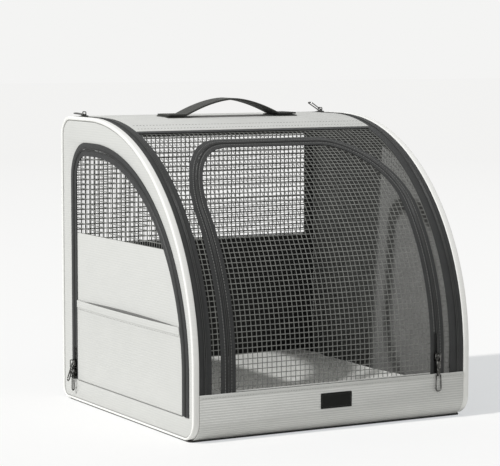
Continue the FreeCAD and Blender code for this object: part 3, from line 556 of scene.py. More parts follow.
class Piece:
    """One piece on the bench, flat in X and Y and in millimetres until it is placed and finished."""

    def __init__(self, name: str, data: bpy.types.ID | None = None) -> None:
        """Lay out a piece.

        Args:
            name: Its name.
            data: A curve, or nothing for an empty mesh.
        """
        shape = bpy.data.meshes.new(name) if data is None else data
        self.item = bpy.data.objects.new(name, shape)
        bpy.context.scene.collection.objects.link(self.item)

    def hold(self) -> None:
        """Make this the one selected and active piece."""
        bpy.ops.object.select_all(action="DESELECT")
        self.item.select_set(True)
        bpy.context.view_layer.objects.active = self.item

    @contextmanager
    def edit(self, test: Test | None = None) -> Iterator[None]:
        """Open the piece in edit mode.

        Args:
            test: Which vertices are selected, or nothing for all of them.

        Yields:
            Nothing.
        """
        self.hold()
        bpy.ops.object.mode_set(mode="EDIT")
        bpy.ops.mesh.select_mode(type="VERT")
        self.select(test)
        yield
        bpy.ops.object.mode_set(mode="OBJECT")

    def select(self, test: Test | None = None) -> None:
        """Select vertices of the open piece.

        Args:
            test: Which ones, or nothing for all of them.
        """
        bpy.ops.mesh.select_all(action="DESELECT" if test else "SELECT")
        if test:
            shape = bmesh.from_edit_mesh(self.item.data)
            for vertex in shape.verts:
                if test(vertex.co):
                    vertex.select_set(True)
            shape.select_flush(True)
            bmesh.update_edit_mesh(self.item.data)

    def outline(self, shape: Outline) -> "Piece":
        """Draw an outline as one face, with its corners rounded.

        Args:
            shape: The outline.

        Returns:
            The piece itself.
        """
        (x0, y0), (x1, y1) = shape.low, shape.high
        middle = ((x0 + x1) / 2, (y0 + y1) / 2, 0)
        with self.edit(lambda co: False):
            bpy.ops.mesh.primitive_plane_add(size=1, location=middle)
            bpy.ops.transform.resize(value=(x1 - x0, y1 - y0, 1), center_override=middle)
            for x, y, radius, steps in shape.corners():
                if radius:
                    corner = Vector((x, y, 0))
                    self.select(lambda co: (co - corner).length < MM)
                    bpy.ops.mesh.bevel(offset=radius, segments=steps, affect="VERTICES", profile=0.5)
        return self

    def ring(self, outer: Outline, inner: Outline) -> "Piece":
        """Draw the strip between two outlines with the same steps.

        Args:
            outer: The strip's outside.
            inner: Its inside.

        Returns:
            The piece itself.
        """
        self.outline(outer).outline(inner)
        with self.edit():
            bpy.ops.mesh.delete(type="ONLY_FACE")
            self.select()
            bpy.ops.mesh.bridge_edge_loops()
        return self

    def plate(self, outer: Outline, *holes: Outline) -> "Piece":
        """Draw an outline with holes in it.

        Args:
            outer: The outline.
            *holes: The holes.

        Returns:
            The piece itself.
        """
        self.outline(outer)
        for hole in holes:
            self.outline(hole)
        if holes:
            with self.edit():
                bpy.ops.mesh.delete(type="ONLY_FACE")
                self.select()
                bpy.ops.mesh.fill(use_beauty=False)
        return self

    def grid(self, low: Pair, high: Pair, cells: tuple[int, int]) -> "Piece":
        """Draw a rectangle of cells.

        Args:
            low: Its low corner.
            high: Its high corner.
            cells: How many cells it has in X and in Y.

        Returns:
            The piece itself.
        """
        middle = ((low[0] + high[0]) / 2, (low[1] + high[1]) / 2, 0)
        size = (high[0] - low[0], high[1] - low[1], 1)
        with self.edit(lambda co: False):
            bpy.ops.mesh.primitive_grid_add(
                x_subdivisions=cells[0], y_subdivisions=cells[1], size=1, location=middle
            )
            bpy.ops.transform.resize(value=size, center_override=middle)
        return self

    def cut(self, axis: int, values: Sequence[float]) -> "Piece":
        """Cut the piece across.

        Args:
            axis: 0 for cuts at values of X, 1 for cuts at values of Y.
            values: Where the cuts are.

        Returns:
            The piece itself.
        """
        normal = (1, 0, 0) if axis == 0 else (0, 1, 0)
        with self.edit():
            for value in values:
                self.select()
                bpy.ops.mesh.bisect(plane_co=Vector(normal) * value, plane_no=normal)
        return self

    def drop(self, test: Test) -> "Piece":
        """Cut away faces.

        Args:
            test: Whether a face with its middle at a place goes.

        Returns:
            The piece itself.
        """
        with self.edit():
            bpy.ops.mesh.select_mode(type="FACE")
            bpy.ops.mesh.select_all(action="DESELECT")
            shape = bmesh.from_edit_mesh(self.item.data)
            for face in shape.faces:
                face.select_set(test(face.calc_center_median()))
            bmesh.update_edit_mesh(self.item.data)
            bpy.ops.mesh.delete(type="FACE")
        return self

    def move(self, way: Place) -> "Piece":
        """Move every point of the piece.

        Args:
            way: Where each point goes.

        Returns:
            The piece itself.
        """
        for vertex in self.item.data.vertices:
            vertex.co = way(vertex.co)
        return self

    def lift(self, height: float) -> "Piece":
        """Raise the flat piece."""
        return self.move(lambda co: co + Vector((0, 0, height)))

    def modify(self, kind: str, **settings: object) -> "Piece":
        """Add a modifier and apply it.

        Args:
            kind: The modifier's type.
            **settings: Its properties.

        Returns:
            The piece itself.
        """
        self.hold()
        bpy.ops.object.modifier_add(type=kind)
        modifier = self.item.modifiers[-1]
        for name, value in settings.items():
            setattr(modifier, name, value)
        bpy.ops.object.modifier_apply(modifier=modifier.name)
        return self

    def bevel(self, width: float, segments: int = 2, angle: float = 50.0) -> "Piece":
        """Soften the edges that are sharper than an angle in degrees."""
        limit = {"limit_method": "ANGLE", "angle_limit": math.radians(angle)}
        return self.modify("BEVEL", width=width, segments=segments, **limit)

    def thick(self, wall: float, edge: float = 0.0) -> "Piece":
        """Give the flat piece a wall.

        Args:
            wall: How thick it is.
            edge: The width of its softened edges, if it has them.

        Returns:
            The piece itself.
        """
        with self.edit():
            bpy.ops.mesh.normals_make_consistent(inside=False)
        if self.item.data.polygons[0].normal.z < 0:
            self.turn_out()
        self.modify("SOLIDIFY", thickness=wall, offset=1.0, use_even_offset=False)
        return self.bevel(edge) if edge else self

    def lay_uv(self, run: Callable[[Vector], Pair] | None = None) -> "Piece":
        """Write the flat places, in metres, as the piece's UV map.

        Args:
            run: What U and V are at a place, if they aren't X and Y.

        Returns:
            The piece itself.
        """
        data = self.item.data
        if "flat" not in data.uv_layers:
            data.uv_layers.new(name="flat")
        for other in [item for item in data.uv_layers if item.name != "flat"]:
            data.uv_layers.remove(other)
        layer = data.uv_layers["flat"]
        for loop in data.loops:
            place = data.vertices[loop.vertex_index].co
            u, v = run(place) if run else (place.x, place.y)
            layer.data[loop.index].uv = (u * MM, v * MM)
        return self

    def turn_out(self) -> "Piece":
        """Turn the faces round, as after a placing that mirrors.

        Returns:
            The piece itself.
        """
        with self.edit():
            bpy.ops.mesh.flip_normals()
        return self

    def finish(
        self,
        finish: Finish,
        body: str,
        nodes: Sequence[str] = (),
        slot: str | None = None,
        smooth: float = 40.0,
    ) -> bpy.types.Object:
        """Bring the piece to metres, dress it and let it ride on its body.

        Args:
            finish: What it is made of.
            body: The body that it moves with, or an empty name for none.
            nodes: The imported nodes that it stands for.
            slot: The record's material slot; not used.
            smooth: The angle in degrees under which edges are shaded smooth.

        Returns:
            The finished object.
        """
        self.item.data.transform(Matrix.Scale(MM, 4))
        self.hold()
        bpy.ops.object.shade_smooth_by_angle(angle=math.radians(smooth))
        self.item.data.materials.clear()
        self.item.data.materials.append(finish.material())
        if nodes:
            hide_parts(*nodes)
        if body:
            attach(self.item, body)
        LOG.info("%s: %d faces, %s", self.item.name, len(self.item.data.polygons), finish.value.name)
        return self.item


def tube(
    name: str, points: Sequence[Vector], radii: Sequence[float], closed: bool = False, sides: int = 2
) -> Piece:
    """Draw a round wire along points.

    Args:
        name: The piece's name.
        points: Where it runs, in millimetres.
        radii: Its radius at each point.
        closed: Whether it ends where it starts.
        sides: The bevel resolution.

    Returns:
        The wire as a mesh piece.
    """
    curve = bpy.data.curves.new(name, "CURVE")
    curve.dimensions = "3D"
    curve.bevel_depth = 1.0
    curve.bevel_resolution = sides
    curve.use_fill_caps = not closed
    spline = curve.splines.new("POLY")
    spline.points.add(len(points) - 1)
    for point, place, radius in zip(spline.points, points, radii):
        point.co = (*place, 1.0)
        point.radius = radius
    spline.use_cyclic_u = closed
    piece = Piece(name, curve)
    piece.hold()
    bpy.ops.object.convert(target="MESH")
    piece.item = bpy.context.view_layer.objects.active
    return piece


def joined(name: str, first: Piece, *others: Piece) -> Piece:
    """Join pieces into one.

    Args:
        name: The whole's name.
        first: The piece that takes up the others.
        *others: The rest.

    Returns:
        The first piece.
    """
    first.hold()
    for other in others:
        other.item.select_set(True)
    bpy.ops.object.join()
    first.item.name = name
    return first


@dataclass(frozen=True)
class Stitch:
    """A seam's stitches: their step and width in millimetres, and the share of a step that shows."""

    pitch: float
    cover: float
    wide: float
    tall: float = 0.7

    def row(self, *corners: Sequence[float]) -> list[tuple[float, ...]]:
        """The ends of the stitches along a line."""
        return spaced(corners, self.pitch)

    def box(self, shape: Outline) -> list[list[tuple[float, ...]]]:
        """The rows along an outline's four sides."""
        corners = [(x, y) for x, y, _, _ in shape.corners()]
        return [self.row(a, b) for a, b in zip(corners, corners[1:] + corners[:1])]

    def sew(self, name: str, rows: Sequence[Sequence[Sequence[float]]]) -> Piece:
        """Sew rows of stitches: one bead of thread is modelled and copied along each row.

        Args:
            name: The piece's name.
            rows: Flat points of each row, one for each end of a stitch.

        Returns:
            All the stitches as one flat piece.
        """
        bead = Piece(f"{name}_bead")
        with bead.edit(lambda co: False):
            bpy.ops.mesh.primitive_uv_sphere_add(segments=6, ring_count=4, radius=0.5)
        corners = [vertex.co.copy() for vertex in bead.item.data.vertices]
        faces = [tuple(face.vertices) for face in bead.item.data.polygons]
        bpy.data.objects.remove(bead.item)
        points: list[Vector] = []
        loops: list[tuple[int, ...]] = []
        for row in rows:
            for start, end in zip(row, row[1:]):
                a, b = Vector((*start, 0.0)[:3]), Vector((*end, 0.0)[:3])
                along = (b - a) * self.cover
                across = Vector((-along.y, along.x, 0)).normalized() * self.wide
                up = Vector((0, 0, self.wide * self.tall))
                base = len(points)
                points += [(a + b) / 2 + along * co.x + across * co.y + up * co.z for co in corners]
                loops += [tuple(base + index for index in face) for face in faces]
        piece = Piece(name)
        piece.item.data.from_pydata(points, [], loops)
        return piece


# The shell's line


@dataclass(frozen=True)
class SideProfile:
    """The shell's outer line seen from the side, from the front's foot over the roof and down the back.

    A run equals the height on the straight part of the front, and runs below it go back along the floor.
    """

    half_width: float = 210.0
    half_depth: float = 204.0
    height: float = 402.0
    front_rise: float = 90.0
    curve: float = 312.0
    foot: float = 28.0
    heel: float = 16.0
    crown: float = 28.0
    lip: float = 62.0
    seam_angle: float = 72.0

    @property
    def seam(self) -> float:
        """The run of the seam between the mesh front and the top panel."""
        return self.front_rise + self.curve * math.radians(self.seam_angle)

    @property
    def roof_start(self) -> float:
        """The run where the front's curve meets the flat roof."""
        return self.front_rise + self.curve * math.pi / 2

    @property
    def roof_end(self) -> float:
        """The run where the roof starts to bend down to the back."""
        return self.roof_start + 2 * self.half_depth - self.curve - self.crown

    @property
    def back_start(self) -> float:
        """The run where the back is upright."""
        return self.roof_end + self.crown * math.pi / 2

    @property
    def floor_start(self) -> float:
        """The run where the front's foot meets the floor."""
        return self.foot - self.foot * math.pi / 2

    @property
    def floor_end(self) -> float:
        """The run where the floor bends up to the back."""
        return self.floor_start - (2 * self.half_depth - self.foot - self.heel)

    @property
    def heel_end(self) -> float:
        """The run where the heel's bend ends on the back."""
        return self.floor_end - self.heel * math.pi / 2

    def run_at(self, height: float) -> float:
        """The run of a height on the front."""
        over = min((height - self.front_rise) / self.curve, 1.0)
        return height if over <= 0 else self.front_rise + self.curve * math.asin(over)

    def height_at(self, run: float) -> float:
        """The height of a run on the front."""
        over = run - self.front_rise
        return run if over <= 0 else self.front_rise + self.curve * math.sin(over / self.curve)

    def back_run(self, height: float) -> float:
        """The run of a height on the back."""
        return self.back_start + self.height - self.crown - height

    def point(self, run: float, depth: float) -> Pair:
        """Find a place inside the outer line.

        Args:
            run: How far along the line.
            depth: How far inside it.

        Returns:
            Y and Z.
        """
        if run > self.back_start:
            return self.half_depth - depth, self.height - self.crown - (run - self.back_start)
        if run > self.roof_end:
            angle, radius = (run - self.roof_end) / self.crown, self.crown - depth
            middle = (self.half_depth - self.crown, self.height - self.crown)
            return middle[0] + radius * math.sin(angle), middle[1] + radius * math.cos(angle)
        if run > self.roof_start:
            return self.curve - self.half_depth + run - self.roof_start, self.height - depth
        if run > self.front_rise:
            angle, radius = (run - self.front_rise) / self.curve, self.curve - depth
            middle = self.curve - self.half_depth
            return middle - radius * math.cos(angle), self.front_rise + radius * math.sin(angle)
        if run > self.foot:
            return depth - self.half_depth, run
        if run > self.floor_start:
            angle, radius = (self.foot - run) / self.foot, self.foot - depth
            middle = self.foot - self.half_depth
            return middle - radius * math.cos(angle), self.foot - radius * math.sin(angle)
        if run > self.floor_end:
            return self.foot - self.half_depth + self.floor_start - run, depth
        angle, radius = (self.floor_end - run) / self.heel, self.heel - depth
        middle = self.half_depth - self.heel
        return middle + radius * math.sin(angle), self.heel - radius * math.cos(angle)

    def round_shell(self, depth: float) -> Place:
        """Make a placing that lays a flat piece round the shell, X across and Y along the run.

        Args:
            depth: How far inside the outer line it lies.

        Returns:
            The placing.
        """

        def place(co: Vector) -> Vector:
            """Lay one point."""
            return Vector((co.x, *self.point(co.y, depth - co.z)))

        return place

    def on_side(self, side: Side, depth: float) -> Place:
        """Make a placing that stands a flat piece on a side, X to the back and Y up.

        Args:
            side: Which side.
            depth: How far inside the shell it stands.

        Returns:
            The placing.
        """

        def place(co: Vector) -> Vector:
            """Stand one point."""
            return Vector((side.value * (self.half_width - depth + co.z), co.x, co.y))

        return place

    def side_outline(self, inset: float) -> Outline:
        """Draw the whole side, with Y across and Z up.

        Args:
            inset: How far it is drawn in.

        Returns:
            The outline.
        """
        whole = Outline(
            (-self.half_depth, 0),
            (self.half_depth, self.height),
            (self.foot, self.heel, self.crown, self.curve),
            (10, 8, 10, 72),
        )
        return whole.grown(-inset)

    def bends(self, low: float, high: float) -> list[float]:
        """Find where to cut a flat piece so that it bends smoothly.

        Args:
            low: The run where it starts.
            high: The run where it ends.

        Returns:
            The runs of the cuts.
        """
        curves = (
            (self.heel_end, self.floor_end, 3.0),
            (self.floor_start, self.foot, 4.0),
            (self.front_rise, self.roof_start, 7.0),
            (self.roof_end, self.back_start, 4.0),
        )
        margin = 0.05
        cuts = []
        for start, end, pitch in curves:
            count = math.ceil((end - start) / pitch)
            cuts += [start + (end - start) * index / count for index in range(count + 1)]
        return [value for value in cuts if low + margin < value < high - margin]


PROFILE = SideProfile()


def lay_round(piece: Piece, low: float, high: float, depth: float) -> Piece:
    """Cut a flat piece where the shell bends, and lay it round the shell.

    Args:
        piece: The piece.
        low: The run where it starts.
        high: The run where it ends, or the same again for a piece that needs no cuts.
        depth: How far inside the outer line it lies.

    Returns:
        The same piece.
    """
    piece.cut(1, PROFILE.bends(low, high)).lay_uv()
    return piece.move(PROFILE.round_shell(depth))


def stand_on(piece: Piece, side: Side, depth: float) -> Piece:
    """Stand a flat piece on a side of the shell.

    Args:
        piece: The piece.
        side: Which side.
        depth: How far inside the shell it stands.

    Returns:
        The same piece.
    """
    piece.lay_uv().move(PROFILE.on_side(side, depth))
    return piece.turn_out() if side is Side.LEFT else piece


@dataclass(frozen=True)
class ZipSizes:
    """The sizes that all zips share, in millimetres."""

    slit: float = 0.6
    reach: float = 10.6
    track: float = 6.0
    slack: float = 0.6
    depth: float = 1.0
    wall: float = 1.2
    coil_middle: float = 1.0
    coil_radius: float = 0.95
    coil_neck: float = 0.72
    coil_depth: float = 0.6
    tooth: float = 1.7
    seam: float = 4.6
    stitch: Stitch = Stitch(4.0, 0.8, 0.8)

    def coil(self, name: str, spots: Sequence[Sequence[float]], place: Place) -> Piece:
        """Wind a row of coil: a wire that swells at each tooth.

        Args:
            name: The piece's name.
            spots: The middle of the row when flat, two points for each tooth.
            place: The placing that lays it on the shell.

        Returns:
            The coil, in place.
        """
        path = [place(Vector((*spot, 0))) for spot in spots]
        swell = (self.coil_radius * self.coil_neck, self.coil_radius)
        return tube(name, path, [swell[index % 2] for index in range(len(path))], sides=1)


ZIP = ZipSizes()


@dataclass(frozen=True)
class Net:
    """Woven mesh of coated yarns, drawn yarn by yarn.

    The yarns are drawn coarser than real ones so that they show, and thickest at the side and the back.
    """

    cell: float = 7.0
    yarn: float = 1.65
    side_yarn: float = 1.9
    back_yarn: float = 2.6
    flatness: float = 0.4

    def weave(self, name: str, low: Pair, high: Pair) -> Piece:
        """Lay out a net's cells.

        Args:
            name: The piece's name.
            low: The low corner.
            high: The high corner.

        Returns:
            The flat cells.
        """
        cells = (round((high[0] - low[0]) / self.cell), round((high[1] - low[1]) / self.cell))
        return Piece(name).grid(low, high, cells)

    def yarns(self, piece: Piece, wide: float) -> Piece:
        """Turn the cells' edges into flat yarns.

        Args:
            piece: The flat cells.
            wide: The yarns' width.

        Returns:
            The same piece.
        """
        piece.modify(
            "WIREFRAME", thickness=wide, use_replace=True, use_even_offset=False, use_boundary=True
        )
        return piece.move(lambda co: Vector((co.x, co.y, co.z * self.flatness))).lay_uv()


NET = Net()


# Sub-assemblies


@dataclass(frozen=True)
class Tray:
    """The ribbed cloth floor with the front lip, the fibreboard in it and the bare label."""

    half: float = 201.0
    wall: float = 3.0
    hem: float = 5.0
    hem_proud: float = 0.4
    hem_wall: float = 0.7
    hem_stitch: Stitch = Stitch(4.0, 0.7, 0.6)
    seam_up: float = 1.0
    seam_end: float = 198.0
    sole_half: float = 207.0
    sole_wall: float = 2.2
    sole_corner: float = 6.0
    label_half: float = 23.5
    label_foot: float = 30.0
    label_height: float = 20.5
    label_corner: float = 1.2
    label_wall: float = 0.8
    label_margin: float = 2.2
    label_stitch: Stitch = Stitch(2.4, 0.7, 0.5)
    frame_outside: float = 0.3
    frame_inside: float = 1.3
    frame_wall: float = 1.1

    def build(self) -> None:
        """Model the floor with its lip, the hem, the label and the sheet below, and dress the board."""
        lip = PROFILE.lip
        tray = Piece("base_tray_cloth").plate(Outline((-self.half, PROFILE.heel_end), (self.half, lip)))
        tray.thick(self.wall, edge=0.6).lift(-self.wall)
        lay_round(tray, PROFILE.heel_end, lip, 0.0)
        tray.finish(Finish.RIBBED, Body.SHELL, ["base_tray"], "ribbed_cloth")
        self.build_hem()
        self.build_label()
        self.build_sole()
        redress("floor_board", Finish.BOARD)

    def build_hem(self) -> None:
        """Model the hem along the lip's top, and its seam."""
        low, high = PROFILE.lip - self.hem, PROFILE.lip
        hem = Piece("lip_hem").plate(Outline((-self.half, low), (self.half, high + self.hem_proud)))
        hem.thick(self.hem_wall, edge=0.3)
        lay_round(hem, low, high, 0.0)
        hem.finish(Finish.PANEL, Body.SHELL, (), "ribbed_cloth")
        height = low + self.seam_up
        row = self.hem_stitch.row((-self.seam_end, height), (self.seam_end, height))
        seam = self.hem_stitch.sew("lip_seam", [row]).lift(self.hem_wall)
        lay_round(seam, 0, 0, 0.0).finish(Finish.THREAD, Body.SHELL, (), "ribbed_cloth")

    def build_sole(self) -> None:
        """Model the dark sheet under the floor; the thin dark line that it shows below the sides is
        painted contact shadow.
        """
        x, y = self.sole_half, PROFILE.half_depth - PROFILE.heel
        shape = Outline((-x, -y), (x, y), (self.sole_corner,) * 4, (4,) * 4)
        sole = Piece("bottom_sheet").plate(shape).thick(self.sole_wall, edge=0.3).lay_uv()
        sole.finish(Finish.LINING, Body.SHELL, (), "lining_cloth")

    def build_label(self) -> None:
        """Model the bare rubber label with its raised frame and its sewn edge."""
        outer = Outline(
            (-self.label_half, self.label_foot),
            (self.label_half, self.label_foot + self.label_height),
            (self.label_corner,) * 4,
            (4,) * 4,
        )
        field = Piece("label_patch_field").plate(outer).thick(self.label_wall, edge=0.25)
        frame = Piece("label_patch_frame")
        frame.ring(outer.grown(-self.frame_outside), outer.grown(-self.frame_inside))
        label = joined("label_patch_rubber", field, frame.thick(self.frame_wall, edge=0.2))
        lay_round(label, 0, 0, 0.0).finish(Finish.LABEL, Body.SHELL, ["label_patch"], "label_rubber")
        rows = self.label_stitch.box(outer.grown(-self.label_margin))
        seam = self.label_stitch.sew("label_seam", rows).lift(self.label_wall)
        lay_round(seam, 0, 0, 0.0).finish(Finish.DARK_THREAD, Body.SHELL, (), "label_rubber")


@dataclass(frozen=True)
class SideWalls:
    """The two sides: a soft white rim, a stiff panel in it and a grey lining inside."""

    rim_wide: float = 5.0
    rim_thick: float = 9.0
    # The rims stop over the ground so that the dark sheet under the floor shows below them as a painted
    # contact shadow.
    rim_foot: float = 2.0
    rim_round: float = 2.1
    panel_inset: float = 3.6
    panel_depth: float = 1.5
    panel_wall: float = 3.8
    lining_wall: float = 1.2
    seam_wide: float = 0.9
    seam_wall: float = 0.25

    def build(self, door: "SideDoor") -> None:
        """Model both sides, with the side door's opening in the left one.

        Args:
            door: The side door.
        """
        for side in Side:
            outer = replace(PROFILE.side_outline(0.0), low=(-PROFILE.half_depth, self.rim_foot))
            rim = Piece(f"{side.word}_rim_cloth").ring(outer, PROFILE.side_outline(self.rim_wide))
            rim.thick(self.rim_thick).bevel(self.rim_round, 4).lift(-self.rim_thick)
            stand_on(rim, side, 0.0)
            rim.finish(Finish.BINDING, Body.SHELL, [f"{side.word}_rim"], "rim_binding", smooth=60)
            self.build_panel(side, [door.opening()] if side is Side.LEFT else [])
            redress(f"{side.word}_rim_boning", Finish.BONING)

    def build_panel(self, side: Side, holes: list[Outline]) -> None:
        """Model a side's panel, its lining and the seam along its rim.

        Args:
            side: Which side.
            holes: The openings in it.
        """
        behind = self.panel_depth + self.panel_wall
        layers = (
            ("panel", self.panel_depth, self.panel_wall, Finish.PANEL, "panel_cloth"),
            ("lining", behind, self.lining_wall, Finish.SIDE_LINING, "lining_cloth"),
        )
        for word, depth, wall, finish, slot in layers:
            sheet = Piece(f"{side.word}_side_{word}_cloth")
            sheet.plate(PROFILE.side_outline(self.panel_inset), *holes).thick(wall, edge=0.3)
            stand_on(sheet, side, depth + wall)
            sheet.finish(finish, Body.SHELL, [f"{side.word}_side_{word}"], slot)
        edge = PROFILE.side_outline(self.rim_wide)
        seam = Piece(f"{side.word}_rim_seam").ring(edge, edge.grown(-self.seam_wide))
        stand_on(seam.thick(self.seam_wall), side, self.panel_depth)
        seam.finish(Finish.THREAD, Body.SHELL, (), "panel_cloth")


@dataclass(frozen=True)
class SideDoor:
    """The zipped door in the left side: its zip, stiff flap, net window and flat pocket."""

    front: float = -181.0
    back: float = 161.0
    foot: float = 32.0
    top: float = 358.0
    curve: float = 275.0
    corner: float = 40.0
    below: float = 60.0
    reach: float = 9.2
    face: float = 1.5
    coil_proud: float = 0.3
    notch: float = 6.4
    notch_top: float = 78.0
    flap_wall: float = 3.8
    sill: float = 240.0
    net_depth: float = 2.1
    pocket_top: float = 145.0
    pocket_gap: float = 0.3
    pocket_wall: float = 1.1
    pocket_cells: tuple[int, int] = (16, 12)
    gape: float = 4.2
    gape_round: float = 0.7
    hem: float = 10.0
    hem_wall: float = 1.8
    seam_below: float = 2.0
    seam_margin: float = 3.0
    stitch: Stitch = Stitch(4.6, 0.6, 1.1)
    # The strip over the pocket's hem is painted shade: it stands in for the shade in the pocket's mouth.
    mouth: float = 2.6
    mouth_tuck: float = 2.0
    mouth_round: float = 0.6
    mouth_wall: float = 0.3
    # The grey strip at the door's foot is painted shade in the fold.
    crease: float = 1.0
    crease_wall: float = 0.25

    @property
    def door_foot(self) -> float:
        """The height at which the moving door starts."""
        return self.foot + ZIP.slack

    def line(self, offset: float, foot: float) -> Outline:
        """Draw the zip's line, with Y across and Z up.

        Args:
            offset: How far it is grown.
            foot: The height down to which it goes.

        Returns:
            The outline.
        """
        low, high = (self.front, self.foot), (self.back, self.top)
        grown = Outline(low, high, (0, 0, self.corner, self.curve), (1, 1, 14, 64)).grown(offset)
        return replace(grown, low=(grown.low[0], foot))

    def opening(self) -> Outline:
        """The hole that the door leaves in the left panel."""
        return self.line(ZIP.track, self.foot)

    def parked(self, co: Vector) -> bool:
        """Whether a flat place is in the room of the parked sliders."""
        return co.x > self.back - self.notch and co.y < self.notch_top

    def clear_sliders(self, piece: Piece) -> Piece:
        """Cut the room of the parked sliders out of a flat piece."""
        piece.cut(0, [self.back - self.notch]).cut(1, [self.notch_top])
        return piece.drop(self.parked)

    def build(self) -> None:
        """Model the zip and the door."""
        self.build_zip()
        self.build_flap()
        self.build_net()
        self.build_pocket()

    def build_zip(self) -> None:
        """Model the two tapes and the two rows of coil."""
        rows = (
            ("outer", self.reach, ZIP.slit, ZIP.coil_middle, self.foot, Body.SHELL),
            ("inner", -ZIP.slit, -self.reach, -ZIP.coil_middle, self.door_foot, Body.SIDE_DOOR),
        )
        place = PROFILE.on_side(Side.LEFT, self.face - ZIP.wall - self.coil_proud)
        for word, outer, inner, middle, foot, body in rows:
            tape = Piece(f"side_door_{word}_tape_weave")
            low = foot - self.below
            tape.ring(self.line(outer, low), self.line(inner, low - self.below)).cut(1, [foot])
            tape.drop(lambda co: co.y < foot)
            spots = self.line(middle, foot).line(foot, ZIP.tooth / 2)
            if word == "inner":
                self.clear_sliders(tape)
                spots = [spot for spot in spots if not (spot[0] > 0 and spot[1] < self.notch_top)]
            stand_on(tape.thick(ZIP.wall, edge=0.2), Side.LEFT, self.face)
            tape.finish(Finish.TAPE, body, [f"side_door_{word}_tape"], "zip_tape")
            coil = ZIP.coil(f"side_door_{word}_coil_row", spots, place)
            coil.finish(Finish.COIL, body, [f"side_door_{word}_coil"], "zip_coil", smooth=70)

    def build_flap(self) -> None:
        """Model the stiff flap under the window."""
        flap = Piece("side_door_flap").plate(self.line(-ZIP.track, self.door_foot))
        flap.cut(1, [self.sill]).drop(lambda co: co.y > self.sill)
        self.clear_sliders(flap).thick(self.flap_wall, edge=0.4)
        stand_on(flap, Side.LEFT, self.face + self.flap_wall)
        flap.finish(Finish.PANEL, Body.SIDE_DOOR, ["side_door_panel"], "panel_cloth")

    def build_net(self) -> None:
        """Model the window's net of crossing yarns."""
        shape = self.line(-ZIP.track, self.sill)
        left, (right, top) = shape.low[0], shape.high
        corner, curve = shape.radii[2], shape.radii[3]
        net = NET.weave("side_door_window_net", (left, self.sill), (right, top))

        def outside(co: Vector) -> bool:
            """Tell what lies past one of the window's round corners.

            Args:
                co: A flat place.

            Returns:
                Whether it does.
            """
            ahead, over = left + curve - co.x, co.y - top + curve
            behind, above = co.x - right + corner, co.y - top + corner
            past_curve = ahead >= 0 and math.hypot(ahead, over) >= curve
            past_corner = behind >= 0 and above >= 0 and math.hypot(behind, above) >= corner
            return past_curve or past_corner

        net.drop(outside)
        stand_on(NET.yarns(net, NET.side_yarn), Side.LEFT, self.net_depth)
        net.finish(Finish.YARN, Body.SIDE_DOOR, ["side_door_net"], "mesh_cloth", smooth=100)

    def build_pocket(self) -> None:
        """Model the flat pocket, which gapes a little at its top, with its hem and seam."""
        low, top = self.door_foot, self.pocket_top
        outer = self.line(-(self.reach + self.pocket_gap), low)
        left, right = outer.low[0], outer.high[0]

        def swell(co: Vector) -> Vector:
            """Let the top of the pocket stand off the flap.

            Args:
                co: A flat place on the pocket.

            Returns:
                Where it goes.
            """
            across = math.sin(math.pi * min(max((co.x - left) / (right - left), 0), 1))
            up = min(max((co.y - low) / (top - low), 0), 1)
            return co + Vector((0, 0, self.gape * across**self.gape_round * up**3))

        steps = even(left, right, self.pocket_cells[0])
        heights = even(low, top, self.pocket_cells[1])
        layers = (
            ("side_door_pocket_sheet", low, self.pocket_wall, "side_door_pocket"),
            ("side_door_pocket_fold", top - self.hem, self.hem_wall, "side_door_pocket_hem"),
        )
        for name, start, wall, node in layers:
            sheet = Piece(name).plate(outer).cut(1, [start, top])
            sheet.drop(lambda co: not start < co.y < top)
            sheet.cut(0, steps).cut(1, [value for value in heights if start < value < top])
            stand_on(sheet.thick(wall, edge=0.3).move(swell), Side.LEFT, self.face)
            sheet.finish(Finish.PANEL, Body.SIDE_DOOR, [node], "panel_cloth")
        height = top - self.hem - self.seam_below
        row = self.stitch.row((left + self.seam_margin, height), (right - self.seam_margin, height))
        seam = self.stitch.sew("side_door_pocket_seam", [row]).lift(self.pocket_wall).move(swell)
        stand_on(seam, Side.LEFT, self.face)
        thread = seam.finish(Finish.THREAD, Body.SIDE_DOOR, (), "panel_cloth")
        self.build_lines(left, right)

    def build_lines(self, left: float, right: float) -> None:
        """Model two strips of painted shade: a dark one over the pocket's hem, for the shade in the
        pocket's mouth, and a grey one where the door folds.

        Args:
            left: Where the pocket starts.
            right: Where it ends.
        """
        tuck, low = self.mouth_tuck, self.pocket_top - self.mouth_tuck

        def droop(co: Vector) -> Vector:
            """Let the strip of painted shade narrow towards its ends."""
            across = math.sin(math.pi * min(max((co.x - left) / (right - left), 0), 1))
            return Vector((co.x, low + (co.y - low) * across**self.mouth_round, co.z))

        ends = Outline((left + tuck, low), (right - tuck, self.pocket_top + self.mouth))
        cuts = even(left, right, self.pocket_cells[0])
        mouth = Piece("side_door_pocket_mouth").plate(ends).cut(0, cuts).thick(self.mouth_wall)
        stand_on(mouth.move(droop), Side.LEFT, self.face)
        mouth.finish(Finish.SIDE_LINING, Body.SIDE_DOOR, (), "lining_cloth")
        # A grey strip of painted shade along the fold at the door's foot.
        start = (self.front + self.reach, self.foot - self.crease)
        end = (self.back - self.reach, self.foot)
        crease = Piece("side_door_crease").plate(Outline(start, end)).thick(self.crease_wall)
        stand_on(crease, Side.LEFT, self.face)
        crease.finish(Finish.SIDE_LINING, Body.SHELL, (), "panel_cloth")


